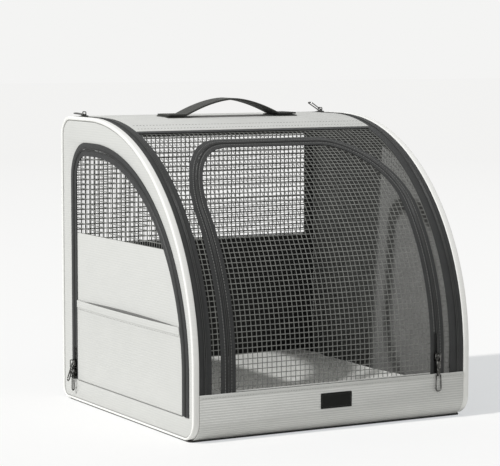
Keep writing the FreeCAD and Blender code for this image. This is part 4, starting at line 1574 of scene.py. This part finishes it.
@dataclass(frozen=True)
class Front:
    """The curved mesh front: the fixed mesh, the door in it and the door's zip."""

    half: float = 159.0
    top: float = 370.6
    corner: float = 84.0
    mesh_half: float = 186.0
    mesh_depth: float = 2.8
    foot_snap: float = 20.0
    below: float = 40.0
    fine: float = 3.0
    notch_side: float = 153.4
    notch_top: float = 117.0
    hem: float = 1.8
    hem_gap: float = 0.3
    hem_wall: float = 0.9
    hem_depth: float = 2.2
    guard_lap: float = 2.0
    guard_wall: float = 0.6
    guard_depth: float = 5.0

    @property
    def door_foot(self) -> float:
        """The height at which the moving door starts."""
        return PROFILE.lip + ZIP.slack

    def line(self, offset: float, foot: float) -> Outline:
        """Draw the zip's line as seen from the front.

        Args:
            offset: How far it is grown along the curve.
            foot: The height down to which it goes.

        Returns:
            The outline.
        """
        rise = (self.top - PROFILE.front_rise) / PROFILE.curve
        slope = math.sqrt(1 - rise * rise)
        half = self.half + offset
        bend = self.corner + offset * (slope + 1) / 2
        high = (half, self.top + offset * slope)
        return Outline((-half, foot), high, (0, 0, bend, bend), (1, 1, 18, 18))

    def rolled(self, offset: float, foot: float, pitch: float) -> list[tuple[float, ...]]:
        """Walk along the zip's line on the rolled-out front.

        Args:
            offset: How far the line is grown. Below 0 it is on the door and clear of the slider.
            foot: The height at which it starts and ends.
            pitch: The distance between points.

        Returns:
            X and the run of each point.
        """
        rough = [(x, PROFILE.run_at(z)) for x, z in self.line(offset, foot).line(foot, self.fine)]
        spots = spaced(rough, pitch)
        if offset > 0:
            return spots
        return [spot for spot in spots if not (spot[0] > 0 and spot[1] < self.notch_top)]

    def outside(self, offset: float) -> Place:
        """Make a test of flat places against the zip's line.

        Args:
            offset: How far the line is grown.

        Returns:
            A function that gives the nearest place on the line, with Z above 0 outside the line.
        """
        shape = self.line(offset, 0)
        half, top, bend = shape.high[0], shape.high[1], shape.radii[2]

        def nearest(co: Vector) -> Vector:
            """Find the nearest place on the line.

            Args:
                co: A flat place.

            Returns:
                The place on the line, with Z above 0 if the flat place lies outside it.
            """
            x, z = abs(co.x), PROFILE.height_at(co.y)
            sign = math.copysign(1, co.x)
            if x > half - bend and z > top - bend:
                over = Vector((x - half + bend, z - top + bend))
                spot = over.normalized() * bend
                place = (half - bend + spot.x, top - bend + spot.y)
                out = over.length - bend
            elif half - x < top - z:
                place, out = (half, z), x - half
            else:
                place, out = (x, top), z - top
            return Vector((sign * place[0], PROFILE.run_at(place[1]), out))

        return nearest

    def build(self) -> None:
        """Model the fixed mesh, the door and its zip."""
        self.build_mesh()
        self.build_zip()
        self.build_hem()
        self.build_guard()

    def build_mesh(self) -> None:
        """Model the fixed mesh round the door and the mesh of the door."""
        low, high = (-self.mesh_half, PROFILE.lip), (self.mesh_half, PROFILE.seam)
        jobs = (
            ("canopy_net", ZIP.track, 1, Body.SHELL, "canopy_mesh"),
            ("front_door_net", -ZIP.track, -1, Body.FRONT_DOOR, "front_door_mesh"),
        )
        slack = Vector((0, ZIP.slack, 0))
        for name, offset, keep, body, node in jobs:
            nearest = self.outside(offset)
            net = NET.weave(name, low, high)
            net.drop(lambda co: nearest(co).z * keep < 0)
            self.fit_edge(net, nearest, keep > 0)
            if keep < 0:
                net.move(lambda co: co + slack if co.y < PROFILE.lip + MM else co)
            NET.yarns(net, NET.yarn).move(PROFILE.round_shell(self.mesh_depth))
            net.finish(Finish.YARN, body, [node], "mesh_cloth", smooth=100)

    def fit_edge(self, net: Piece, nearest: Place, fixed: bool) -> None:
        """Bring the stepped edge of a net's cells to the zip's line.

        Args:
            net: The flat cells.
            nearest: The nearest place on the line.
            fixed: Whether it is the fixed mesh, whose other edges stay.
        """
        shape = bmesh.new()
        shape.from_mesh(net.item.data)
        edges = [vertex.index for vertex in shape.verts if vertex.is_boundary]
        shape.free()
        for index in edges:
            vertex = net.item.data.vertices[index]
            x, y = abs(vertex.co.x), vertex.co.y
            if fixed and (abs(x - self.mesh_half) < MM or abs(y - PROFILE.seam) < MM):
                continue
            spot = nearest(vertex.co)
            if abs(y - PROFILE.lip) >= MM:
                vertex.co = Vector((spot.x, spot.y, 0))
            elif abs(x - self.half) < self.foot_snap:
                vertex.co.x = spot.x

    def parked(self, co: Vector) -> bool:
        """Whether a flat place is in the room of the parked slider."""
        return co.x > self.notch_side and co.y < self.notch_top

    def develop(self, co: Vector) -> Vector:
        """Turn a flat place seen from the front into one on the rolled-out front."""
        return Vector((co.x, PROFILE.run_at(co.y), co.z))

    def build_zip(self) -> None:
        """Model the door's two tapes with their seams, and two rows of coil."""
        rows = (
            ("outer", ZIP.reach, ZIP.slit, 1, PROFILE.lip, Body.SHELL),
            ("inner", -ZIP.slit, -ZIP.reach, -1, self.door_foot, Body.FRONT_DOOR),
        )
        for word, outer, inner, sign, foot, body in rows:
            tape = Piece(f"front_door_{word}_tape_weave")
            low = foot - self.below
            tape.ring(self.line(outer, low), self.line(inner, low - self.below)).cut(1, [foot])
            tape.drop(lambda co: co.y < foot)
            if sign < 0:
                tape.cut(0, [self.notch_side]).cut(1, [self.notch_top]).drop(self.parked)
            tape.move(self.develop).thick(ZIP.wall, edge=0.2)
            lay_round(tape, foot, PROFILE.seam, ZIP.depth + ZIP.wall)
            tape.finish(Finish.TAPE, body, [f"front_door_{word}_tape"], "zip_tape")
            row = self.rolled(sign * ZIP.seam, foot, ZIP.stitch.pitch)
            seam = ZIP.stitch.sew(f"front_door_{word}_tape_seam", [row])
            lay_round(seam, 0, 0, ZIP.depth).finish(Finish.TAPE_THREAD, body, (), "zip_tape")
            spots = self.rolled(sign * ZIP.coil_middle, foot, ZIP.tooth / 2)
            coil = ZIP.coil(f"front_door_{word}_coil_row", spots, PROFILE.round_shell(ZIP.coil_depth))
            coil.finish(Finish.COIL, body, [f"front_door_{word}_coil"], "zip_coil", smooth=70)

    def build_hem(self) -> None:
        """Model the pale hem along the door's hinged foot."""
        half, low = self.half - ZIP.reach - self.hem_gap, self.door_foot
        hem = Piece("front_door_foot_hem").plate(Outline((-half, low), (half, low + self.hem)))
        lay_round(hem.thick(self.hem_wall, edge=0.3), low, low, self.hem_depth)
        hem.finish(Finish.PANEL, Body.FRONT_DOOR, ["front_door_hem"], "zip_tape")

    def build_guard(self) -> None:
        """Model the dark flap behind the parked slider, sewn to the fixed tape."""
        low = (self.notch_side - self.guard_lap, PROFILE.lip)
        high = (self.half + self.guard_lap, self.notch_top + self.guard_lap)
        guard = Piece("front_door_zip_guard").plate(Outline(low, high)).thick(self.guard_wall, edge=0.1)
        lay_round(guard, low[1], high[1], self.guard_depth)
        guard.finish(Finish.TAPE, Body.SHELL, (), "zip_tape")


@dataclass(frozen=True)
class ArcZips:
    """The long zips along both sides of the curved front, from the lip to the back of the roof."""

    slit: float = 192.0
    outer: float = 201.0
    inner: float = 183.0
    right_inner: float = 179.0

    def build(self) -> None:
        """Model two tapes and two rows of coil on each side."""
        start, end = PROFILE.lip, PROFILE.roof_end
        place = PROFILE.round_shell(ZIP.coil_depth)
        for side in Side:
            spans = (
                ("outer", self.slit + ZIP.slit, self.outer),
                ("inner", self.right_inner if side is Side.RIGHT else self.inner, self.slit - ZIP.slit),
            )
            for word, low, high in spans:
                edges = sorted((side.value * low, side.value * high))
                tape = Piece(f"{side.word}_arc_{word}_tape_weave")
                tape.plate(Outline((edges[0], start), (edges[1], end))).thick(ZIP.wall, edge=0.2)
                lay_round(tape, start, end, ZIP.depth + ZIP.wall)
                tape.finish(Finish.TAPE, Body.SHELL, [f"{side.word}_arc_{word}_tape"], "zip_tape")
            rows = []
            for word, shift in (("outer", ZIP.coil_middle), ("inner", -ZIP.coil_middle)):
                x = side.value * (self.slit + shift)
                spots = spaced([(x, start), (x, end)], ZIP.tooth / 2)
                rows.append(ZIP.coil(f"{side.word}_arc_{word}_row", spots, place))
            coils = joined(f"{side.word}_arc_coil_rows", *rows)
            coils.finish(Finish.COIL, Body.SHELL, [f"{side.word}_arc_coils"], "zip_coil", smooth=70)


@dataclass(frozen=True)
class Roof:
    """The pale top panel with its seams, its dark lining and the tape over its front seam."""

    half: float = 183.0
    face: float = 0.2
    wall: float = 3.0
    lining_wall: float = 0.8
    tape_ahead: float = 6.5
    tape_behind: float = 1.5
    tape_wall: float = 1.3
    tape_depth: float = 2.0
    seams: Pair = (9.0, 24.0)
    seam_end: float = 179.0
    stitch: Stitch = Stitch(5.0, 0.62, 1.2)

    def build(self) -> None:
        """Model the panel, its lining, its seam tape and two rows of stitches."""
        start, end = PROFILE.seam, PROFILE.roof_end
        depth = self.face + self.wall
        shape = Outline((-self.half, start), (self.half, end))
        panel = Piece("top_panel_cloth").plate(shape).thick(self.wall, edge=0.5)
        lay_round(panel, start, end, depth)
        panel.finish(Finish.RIBBED, Body.SHELL, ["top_panel"], "ribbed_cloth")
        lining = Piece("top_lining_cloth").plate(shape).thick(self.lining_wall, edge=0.2)
        lay_round(lining, start, end, depth + self.lining_wall)
        lining.finish(Finish.LINING, Body.SHELL, (), "lining_cloth")
        low, high = start - self.tape_ahead, start + self.tape_behind
        tape = Piece("top_seam_binding").plate(Outline((-self.half, low), (self.half, high)))
        lay_round(tape.thick(self.tape_wall, edge=0.4), low, high, self.tape_depth)
        tape.finish(Finish.TAPE, Body.SHELL, ["top_seam_tape"], "zip_tape")
        runs = [start + shift for shift in self.seams]
        rows = [self.stitch.row((-self.seam_end, run), (self.seam_end, run)) for run in runs]
        seam = self.stitch.sew("top_panel_seams", rows)
        lay_round(seam, 0, 0, self.face).finish(Finish.THREAD, Body.SHELL, (), "ribbed_cloth")


@dataclass(frozen=True)
class Back:
    """The back panel with its wide net window, the window's binding and the dark lining."""

    half: float = 201.0
    wall: float = 3.0
    lining_half: float = 202.4
    lining_wall: float = 1.2
    lining_depth: float = 5.4
    window_half: float = 192.0
    window_low: float = 214.0
    window_high: float = 371.0
    corner: float = 6.0
    binding: float = 3.0
    binding_lap: float = 0.4
    proud: float = 0.6
    net_margin: float = 2.5
    net_depth: float = 3.6
    seam_gap: float = 4.0
    stitch: Stitch = Stitch(5.0, 0.62, 1.0)

    def window(self, offset: float) -> Outline:
        """Draw the window on the rolled-out back.

        Args:
            offset: How far it is grown.

        Returns:
            The outline.
        """
        low = (-self.window_half, PROFILE.back_run(self.window_high))
        high = (self.window_half, PROFILE.back_run(self.window_low))
        return Outline(low, high, (self.corner,) * 4).grown(offset)

    def build(self) -> None:
        """Model the panel, the lining, the binding with its seam and the net."""
        end = PROFILE.back_run(PROFILE.heel)
        start, half = PROFILE.roof_end, self.half
        panel = Piece("back_panel_cloth").plate(Outline((-half, start), (half, end)), self.window(0.0))
        lay_round(panel.thick(self.wall, edge=0.4), start, end, self.wall)
        panel.finish(Finish.PANEL, Body.SHELL, ["back_panel"], "panel_cloth")
        start, half = PROFILE.back_start, self.lining_half
        lining = Piece("back_lining_cloth").plate(Outline((-half, start), (half, end)), self.window(0.0))
        lay_round(lining.thick(self.lining_wall, edge=0.2), start, end, self.lining_depth)
        lining.finish(Finish.LINING, Body.SHELL, ["back_lining"], "lining_cloth")
        ring = Piece("back_window_edge").ring(self.window(self.binding_lap), self.window(-self.binding))
        lay_round(ring.thick(self.wall + self.proud, edge=0.8), 0, 0, self.wall)
        ring.finish(Finish.TAPE, Body.SHELL, ["back_window_binding"], "zip_tape")
        seam = self.stitch.sew("back_window_seam", self.stitch.box(self.window(self.seam_gap)))
        lay_round(seam, 0, 0, 0.0).finish(Finish.THREAD, Body.SHELL, (), "panel_cloth")
        frame = self.window(self.net_margin)
        net = NET.weave("back_window_yarns", frame.low, frame.high)
        NET.yarns(net, NET.back_yarn).move(PROFILE.round_shell(self.net_depth))
        net.finish(Finish.YARN, Body.SHELL, ["back_window_net"], "mesh_cloth", smooth=100)


@dataclass(frozen=True)
class Handle:
    """The webbing handle: two sewn patches and an arched strap, sewn on with boxed crosses."""

    middle_lead: float = 12.0
    wide: float = 37.0
    wall: float = 2.4
    cells: tuple[int, int] = (88, 6)
    patch_low: float = 68.0
    patch_high: float = 103.0
    patch_lap: float = 0.5
    patch_wall: float = 1.6
    patch_depth: float = 0.2
    patch_corner: float = 1.5
    foot: float = 73.0
    tip: float = 101.5
    rise: float = 21.2
    bow: float = 1.7
    bend_start: float = 70.0
    bend_end: float = 44.0
    bend_rise: float = 8.0
    seam_near: float = 3.0
    seam_far: float = 2.5
    stitch: Stitch = Stitch(3.2, 0.7, 0.7)

    @property
    def middle(self) -> float:
        """The run of the handle's middle line on the roof."""
        return PROFILE.roof_start - self.middle_lead

    @property
    def middle_y(self) -> float:
        """The Y of the handle's middle line."""
        return PROFILE.point(self.middle, 0)[0]

    def height(self, x: float) -> float:
        """How far the strap's underside stands over the patches at an X."""
        share = max(1 - abs(x) / self.foot, 0.0)
        return self.rise * (1 - (1 - share) ** self.bow)

    def bowed(self, co: Vector) -> Vector:
        """Bend a flat place of the strap into the arch.

        Args:
            co: The place, with X along the strap and Y across it.

        Returns:
            Where it goes.
        """
        slope = self.height(co.x + 0.5) - self.height(co.x - 0.5)
        normal = Vector((-slope, 1)).normalized()
        base = PROFILE.height - self.patch_depth + self.patch_wall + self.height(co.x)
        return Vector((co.x + normal.x * co.z, self.middle_y + co.y, base + normal.y * co.z))

    def build(self) -> None:
        """Model the patches, the strap in two halves, and the stitching."""
        half = self.wide / 2
        low, high = self.middle - half - self.patch_lap, self.middle + half + self.patch_lap
        patches = []
        for side in Side:
            edges = sorted((side.value * self.patch_low, side.value * self.patch_high))
            shape = Outline((edges[0], low), (edges[1], high), (self.patch_corner,) * 4, (3,) * 4)
            patch = Piece(f"{side.word}_handle_patch").plate(shape).thick(self.patch_wall, edge=0.4)
            patches.append(lay_round(patch, low, high, self.patch_depth))
        both = joined("handle_patch_webbing", *patches)
        both.finish(Finish.STRAP, Body.SHELL, ["handle_patches"], "webbing")
        for side in Side:
            strap = Piece(f"{side.word}_handle_webbing")
            strap.grid((-self.tip, -half), (self.tip, half), self.cells).thick(self.wall, edge=0.6)
            strap.drop(lambda co: co.x * side.value < 0)
            strap.lay_uv(lambda co: (co.y, co.x)).move(self.bowed)
            nodes = ["handle_strap"] if side is Side.LEFT else ["handle_ends"]
            item = strap.finish(Finish.STRAP, "", nodes, "webbing", smooth=60)
            x, y, z = side.value * MM, self.middle_y * MM, (PROFILE.height + self.bend_rise) * MM
            start, end = (self.bend_start * x, y, z), (self.bend_end * x, y, z)
            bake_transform(item)
            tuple(start)
            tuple(end)
        self.sew()

    def sew(self) -> None:
        """Sew a boxed cross on each end of the strap."""
        rows = []
        y = self.wide / 2 - self.seam_near
        for side in Side:
            near = side.value * (self.foot + self.seam_near)
            far = side.value * (self.tip - self.seam_far)
            corners = [(near, -y), (far, -y), (far, y), (near, y), (near, -y), (far, y)]
            rows += [self.stitch.row(a, b) for a, b in zip(corners, corners[1:])]
            rows.append(self.stitch.row((near, y), (far, -y)))
        seam = self.stitch.sew("handle_seams", rows).lift(self.wall)
        seam.lay_uv().move(self.bowed)
        seam.finish(Finish.DARK_THREAD, Body.SHELL, (), "webbing")


@dataclass(frozen=True)
class Mat:
    """The padded floor mat in white plush."""

    half: float = 192.0
    low: float = 5.8
    high: float = 36.8
    corner: float = 20.0
    shrink: float = 3.0
    voxel: float = 5.0
    pressure: float = 4.0
    swell: float = 15.0
    crown: float = 11.5
    floor_gap: float = 0.2
    frames: int = 20

    def build(self) -> None:
        """Model the mat, puff it with a cloth simulation and set it on the floor."""
        size = self.half - self.shrink
        shape = Outline((-size, -size), (size, size), (self.corner,) * 4, (8,) * 4)
        mat = Piece("floor_mat_plush").plate(shape).thick(self.high - self.low - 2 * self.shrink)
        mat.lift(self.low + self.shrink)
        mat.item.data.transform(Matrix.Scale(MM, 4))
        mat.modify("REMESH", mode="VOXEL", voxel_size=self.voxel * MM)
        self.puff(mat)
        mat.modify("SMOOTH", factor=0.5, iterations=4)
        mat.modify("SUBSURF", levels=1, render_levels=1)
        mat.item.data.transform(Matrix.Scale(1 / MM, 4))
        mat.move(self.settle)
        item = mat.finish(Finish.PLUSH, Body.MAT, ["floor_mat"], "mat_plush", smooth=180)

    def puff(self, mat: Piece) -> None:
        """Swell the mat by pressure, with a cap on how far a point may move.

        Args:
            mat: The mat, in metres.
        """
        rest = [vertex.co.copy() for vertex in mat.item.data.vertices]
        mat.hold()
        bpy.ops.object.modifier_add(type="CLOTH")
        cloth = mat.item.modifiers[-1]
        cloth.settings.use_pressure = True
        cloth.settings.uniform_pressure_force = self.pressure
        cloth.settings.effector_weights.gravity = 0.0
        cloth.point_cache.frame_end = self.frames
        for frame in range(1, self.frames + 1):
            bpy.context.scene.frame_set(frame)
        bpy.ops.object.modifier_apply(modifier=cloth.name)
        bpy.context.scene.frame_set(1)
        limit = self.swell * MM
        for vertex, start in zip(mat.item.data.vertices, rest):
            moved = vertex.co - start
            if moved.length > limit:
                vertex.co = start + moved.normalized() * limit

    def settle(self, co: Vector) -> Vector:
        """Press the mat flat on the floor and keep it inside the walls.

        Args:
            co: A place on the mat.

        Returns:
            Where it goes.
        """
        x, y = (min(max(value, -self.half), self.half) for value in co.xy)
        return Vector((x, y, min(max(co.z, self.low + self.floor_gap), self.high + self.crown)))


def placing(along: Vector, normal: Vector, spot: Vector) -> Matrix:
    """Make a placing.

    Args:
        along: Where X points.
        normal: Where Z points.
        spot: Where the origin goes.

    Returns:
        The placing.
    """
    across = normal.cross(along)
    turn = Matrix((along, across, normal)).transposed().to_4x4()
    return Matrix.Translation(spot) @ turn


@dataclass(frozen=True)
class Slide:
    """A slider's middle on the slit, the ways it runs and faces, and its pull's lift in degrees."""

    name: str
    spot: tuple[float, float, float]
    along: tuple[float, float, float]
    normal: tuple[float, float, float]
    pull: str
    lift: float = 0.0
    pull_length: float = 26.0

    def frame(self) -> Matrix:
        """The placing of the slider."""
        return placing(Vector(self.along), Vector(self.normal), Vector(self.spot))

    def pull_frame(self, height: float) -> Matrix:
        """Make the placing of the pull's bar.

        Args:
            height: How high the bar is under the slider's bridge.

        Returns:
            The placing.
        """
        along, normal = Vector(self.along), Vector(self.normal)
        angle = math.radians(self.lift)
        out = normal * math.sin(angle) - along * math.cos(angle)
        face = normal * math.cos(angle) + along * math.sin(angle)
        return placing(out, face, Vector(self.spot) + normal * height)


UP, FRONT, LEFT = (0, 0, 1), (0, -1, 0), (-1, 0, 0)


@dataclass(frozen=True)
class Hardware:
    """The zip sliders and their pulls in dark plated metal."""

    places: tuple[Slide, ...] = (
        Slide("left_arc_slider", (-192, 162, 402.1), FRONT, UP, "left_arc_pull", 2, 32),
        Slide("right_arc_slider", (192, 162, 402.1), FRONT, UP, "right_arc_pull", 19, 34),
        Slide("front_slider", (159, -204.1, 85), UP, FRONT, "front_pull_tab"),
        Slide("side_upper_slider", (-210.8, 161, 54), UP, LEFT, "side_upper_pull", 18),
        Slide("side_lower_slider", (-210.8, 161, 41), UP, LEFT, "side_lower_pull"),
    )
    length: float = 11.8
    wide: float = 9.6
    tail: float = 6.2
    plate: float = 1.3
    grip: float = 2.6
    shoulder: float = 0.5
    nose: float = 0.7
    nose_taper: float = 0.32
    plate_corners: tuple[float, float, float, float] = (1.2, 2.0, 2.0, 1.2)
    plate_cuts: tuple[float, ...] = (-3.5, -1.5, 0, 1.5, 2.5, 3.5, 4.5)
    plate_edge: float = 0.32
    post: tuple[float, float, float] = (-1.0, 3.2, 0.34)
    post_sink: float = 0.2
    bridge_half: float = 5.1
    bridge_top: float = 6.8
    bridge_wire: float = 0.72
    bridge_wide: float = 1.15
    wire: float = 0.9
    bar: float = 2.3
    loop_ends: Pair = (2.6, 3.2)
    loop_pitch: float = 0.9
    tab_half: float = 3.5
    tab_back: float = 0.6
    tab_wall: float = 1.2
    tab_edge: float = 0.25
    tab_cuts: tuple[float, ...] = (7.5, 10, 14, 18)
    tab_taper: float = 0.22
    taper_start: float = 7.0
    taper_length: float = 12.0
    eye: tuple[float, float, float] = (1.0, 5.4, 1.8)
    hang: float = 24.0
    hang_gap: float = 1.4
    knuckle: float = 1.25
    knuckle_wire: float = 0.36
    knuckle_wide: float = 5.6
    front_loop: float = 23.0
    front_loop_ends: Pair = (3.3, 4.0)

    def build(self) -> None:
        """Model every slider and pull."""
        for slide in self.places:
            slider = self.slider(f"{slide.name}_cast")
            slider.item.data.transform(slide.frame())
            slider.finish(Finish.METAL, slide.name, [slide.name], "zip_metal", smooth=35)
            frame = slide.pull_frame(self.bar)
            if slide.name == "front_slider":
                self.build_tab(frame)
                continue
            pull = self.loop(f"{slide.pull}_wire", slide.pull_length, self.loop_ends)
            pull.item.data.transform(frame)
            pull.finish(Finish.METAL, slide.pull, [slide.pull], "zip_metal", smooth=60)

    def shield(self, co: Vector) -> Vector:
        """Narrow a slider's plate towards its tail and round off its nose.

        Args:
            co: A place on the plate.

        Returns:
            Where it goes.
        """
        half, tail = self.wide / 2, self.tail / 2
        share = co.x / self.length + 0.5
        wide = tail + (half - tail) * min(share / self.shoulder, 1.0)
        if share > self.nose:
            wide *= 1 - self.nose_taper * ((share - self.nose) / (1 - self.nose)) ** 2
        return Vector((co.x, co.y * wide / half, co.z))

    def slider(self, name: str) -> Piece:
        """Cast one slider: two shield-shaped plates, the post between them and the bridge.

        Args:
            name: The piece's name.

        Returns:
            The slider at the origin, its nose along X.
        """
        nose, half = self.length / 2, self.wide / 2
        blank = Outline((-nose, -half), (nose, half), self.plate_corners, (4, 5, 5, 4))
        plates = []
        for word, low in (("top", 0.0), ("under", -self.grip - self.plate)):
            plate = Piece(f"{name}_{word}").plate(blank).cut(0, self.plate_cuts).thick(self.plate)
            plate.bevel(self.plate_edge, angle=40).move(self.shield).lift(low)
            plates.append(plate)
        back, front, side = self.post
        post = Piece(f"{name}_post").plate(Outline((back, -side), (front, side), (0.3,) * 4, (3,) * 4))
        post.thick(self.grip + 2 * self.post_sink).lift(-self.grip - self.post_sink)
        x, top = self.bridge_half, self.bridge_top
        arch = [(-x, 0, 0.7), (-x, 0, top - 1.4), (0.5 - x, 0, top - 0.8), (1.5 - x, 0, top - 0.5)]
        arch += [(-x, y, z) for x, y, z in reversed(arch)]
        bridge = tube(f"{name}_bridge", [Vector(place) for place in arch], [self.bridge_wire] * len(arch))
        bridge.move(lambda co: Vector((co.x, co.y * self.bridge_wide, co.z)))
        return joined(name, *plates, post, bridge)

    def loop(self, name: str, length: float, ends: Pair) -> Piece:
        """Bend a drop-shaped loop of wire.

        Args:
            name: The piece's name.
            length: From the bar to the far end.
            ends: Half the bar's length, and the radius of the far end.

        Returns:
            The loop at the origin, with its bar across and its end along X.
        """
        bar, end = ends
        reach = length - end - self.wire
        rough = [(0.0, -bar), (1.0, -bar)]
        for step in range(13):
            angle = -math.pi / 2 + math.pi * step / 12
            rough.append((reach + end * math.cos(angle), end * math.sin(angle)))
        rough += [(1.0, bar), (0.0, bar), (0.0, -bar)]
        path = [Vector((x, y, 0)) for x, y in spaced(rough, self.loop_pitch)[:-1]]
        return tube(name, path, [self.wire] * len(path), closed=True)

    def narrowed(self, co: Vector) -> Vector:
        """Narrow the front pull's tab towards its hanging end, and bring its middle to the bar."""
        share = min(max((co.x - self.taper_start) / self.taper_length, 0), 1)
        return Vector((co.x, co.y * (1 - self.tab_taper * share), co.z - self.tab_wall / 2))

    def build_tab(self, frame: Matrix) -> None:
        """Model the front slider's flat tab with its knuckle, and the loop that hangs from it.

        Args:
            frame: The placing of the tab's bar.
        """
        low, high = (-self.tab_back, -self.tab_half), (self.hang - self.hang_gap, self.tab_half)
        body = Outline(low, high, (1.0, 0.8, 0.8, 1.0), (4,) * 4)
        start, end, side = self.eye
        eye = Outline((start, -side), (end, side), (0.7,) * 4, (4,) * 4)
        tab = Piece("front_pull_tab_plate").plate(body, eye).cut(0, self.tab_cuts)
        tab.thick(self.tab_wall).bevel(self.tab_edge, angle=40).move(self.narrowed)
        ring = []
        for step in range(16):
            angle = math.tau * step / 16
            x, z = self.knuckle * math.cos(angle), self.knuckle * math.sin(angle)
            ring.append(Vector((self.hang + x, 0, z)))
        knuckle = tube("front_pull_knuckle", ring, [self.knuckle_wire] * len(ring), closed=True)
        knuckle.move(lambda co: Vector((co.x, co.y * self.knuckle_wide, co.z)))
        tab = joined("front_pull_tab_plate", tab, knuckle)
        tab.item.data.transform(frame)
        tab.finish(Finish.METAL, "front_pull_tab", ["front_pull_tab"], "zip_metal", smooth=35)
        loop = self.loop("front_pull_loop_wire", self.front_loop, self.front_loop_ends)
        loop.item.data.transform(frame @ Matrix.Translation((self.hang, 0, 0)))
        loop.finish(Finish.METAL, "front_pull_loop", ["front_pull_loop"], "zip_metal", smooth=60)


@dataclass(frozen=True)
class Studio:
    """The pale floor, the white surroundings, the light from the left and the camera."""

    eye: tuple[float, float, float] = (-1.3796, -2.4779, 0.5088)
    look: tuple[float, float, float] = (0.4799, 0.8723, -0.0935)
    lens: float = 148.17
    sensor: float = 36.0
    sight: float = 50.0
    sun_height: float = 43.5
    sun_turn: float = 4.0
    sun_power: float = 2.8
    sun_angle: float = 3.0
    sky: float = 0.5
    sky_white: str = "#F7F7F6"
    white: str = "#F4F4F3"
    floor_half: float = 20000.0
    bounce: str = "#E8E8E6"
    shade: str = "#B2AFAB"
    glow: str = "#F1F5F9"
    glow_reach: Pair = (0.6, 6.0)
    glow_range: Pair = (0.54, 0.47)

    def build(self) -> None:
        """Set up the floor, the world, the light and the camera."""
        bpy.context.scene.view_settings.view_transform = "Standard"
        self.build_floor()
        self.build_world()
        sun = bpy.data.lights.new("sun_from_left", "SUN")
        sun.energy = self.sun_power
        sun.angle = math.radians(self.sun_angle)
        height, turn = math.radians(self.sun_height), math.radians(self.sun_turn)
        flat = math.cos(height)
        way = Vector((flat * math.cos(turn), flat * math.sin(turn), -math.sin(height)))
        self.aim(bpy.data.objects.new("sun_from_left", sun), way)
        lens = bpy.data.cameras.new("camera")
        lens.lens = self.lens
        lens.sensor_width = self.sensor
        lens.clip_end = self.sight
        camera = bpy.data.objects.new("camera", lens)
        camera.location = self.eye
        self.aim(camera, Vector(self.look))
        bpy.context.scene.camera = camera

    def aim(self, item: bpy.types.Object, way: Vector) -> None:
        """Put a light or a camera in the scene and turn it.

        Args:
            item: The light or the camera.
            way: Where it looks.
        """
        item.rotation_mode = "QUATERNION"
        item.rotation_quaternion = way.to_track_quat("-Z", "Y")
        bpy.context.scene.collection.objects.link(item)

    def seen(self, tree: bpy.types.NodeTree) -> Socket:
        """Tell the rays that show the surroundings: to the camera, in gloss or through glass.

        Args:
            tree: The node tree.

        Returns:
            A socket that is 1 for such rays.
        """
        path = add_node(tree, "LightPath", {}).outputs
        shown = path["Is Camera Ray"]
        for ray in ("Is Glossy Ray", "Is Transmission Ray"):
            shown = add_node(tree, "Math", {0: shown, 1: path[ray]}, operation="MAXIMUM").outputs[0]
        return shown

    def build_floor(self) -> None:
        """Lay the pale floor, which keeps the shadow and goes over into the white round it."""
        half = self.floor_half
        floor = Piece("studio_floor").grid((-half, -half), (half, half), (4, 4))
        floor.item.data.transform(Matrix.Scale(MM, 4))
        look = Shading("pale_floor", "Object")
        tree = look.tree
        shown = self.seen(tree)
        matt = add_node(tree, "BsdfDiffuse", {"Color": linear(self.bounce)}).outputs[0]
        shade = add_node(tree, "BsdfDiffuse", {"Color": linear(self.shade)}).outputs[0]
        away = add_node(tree, "VectorMath", {0: look.place}, operation="LENGTH").outputs["Value"]
        fade = look.ranged(away, self.glow_reach, self.glow_range)
        glow = add_node(tree, "Emission", {"Color": linear(self.glow), "Strength": fade}).outputs[0]
        lifted = add_node(tree, "AddShader", {0: shade, 1: glow}).outputs[0]
        both = add_node(tree, "MixShader", {0: shown, 1: matt, 2: lifted}).outputs[0]
        tree.links.new(both, tree.nodes["Material Output"].inputs["Surface"])
        tree.nodes.remove(tree.nodes["Principled BSDF"])
        floor.item.data.materials.append(look.material)

    def build_world(self) -> None:
        """Surround the scene with soft white light, seen as plain white."""
        world = bpy.data.worlds.new("white_room")
        world.use_nodes = True
        bpy.context.scene.world = world
        tree = world.node_tree
        shown = self.seen(tree)
        inputs = {"Color": linear(self.sky_white), "Strength": self.sky}
        light = add_node(tree, "Background", inputs).outputs[0]
        plain = add_node(tree, "Background", {"Color": linear(self.white), "Strength": 1.0}).outputs[0]
        both = add_node(tree, "MixShader", {0: shown, 1: light, 2: plain}).outputs[0]
        tree.links.new(both, tree.nodes["World Output"].inputs["Surface"])


def main() -> None:
    """Build the carrier's pieces in order."""
    logging.basicConfig(level=logging.INFO, format="%(name)s %(message)s")
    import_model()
    Studio().build()
    door = SideDoor()
    Tray().build()
    SideWalls().build(door)
    door.build()
    Front().build()
    ArcZips().build()
    Roof().build()
    Back().build()
    Handle().build()
    Mat().build()
    Hardware().build()


if __name__ == "__main__":
    main()
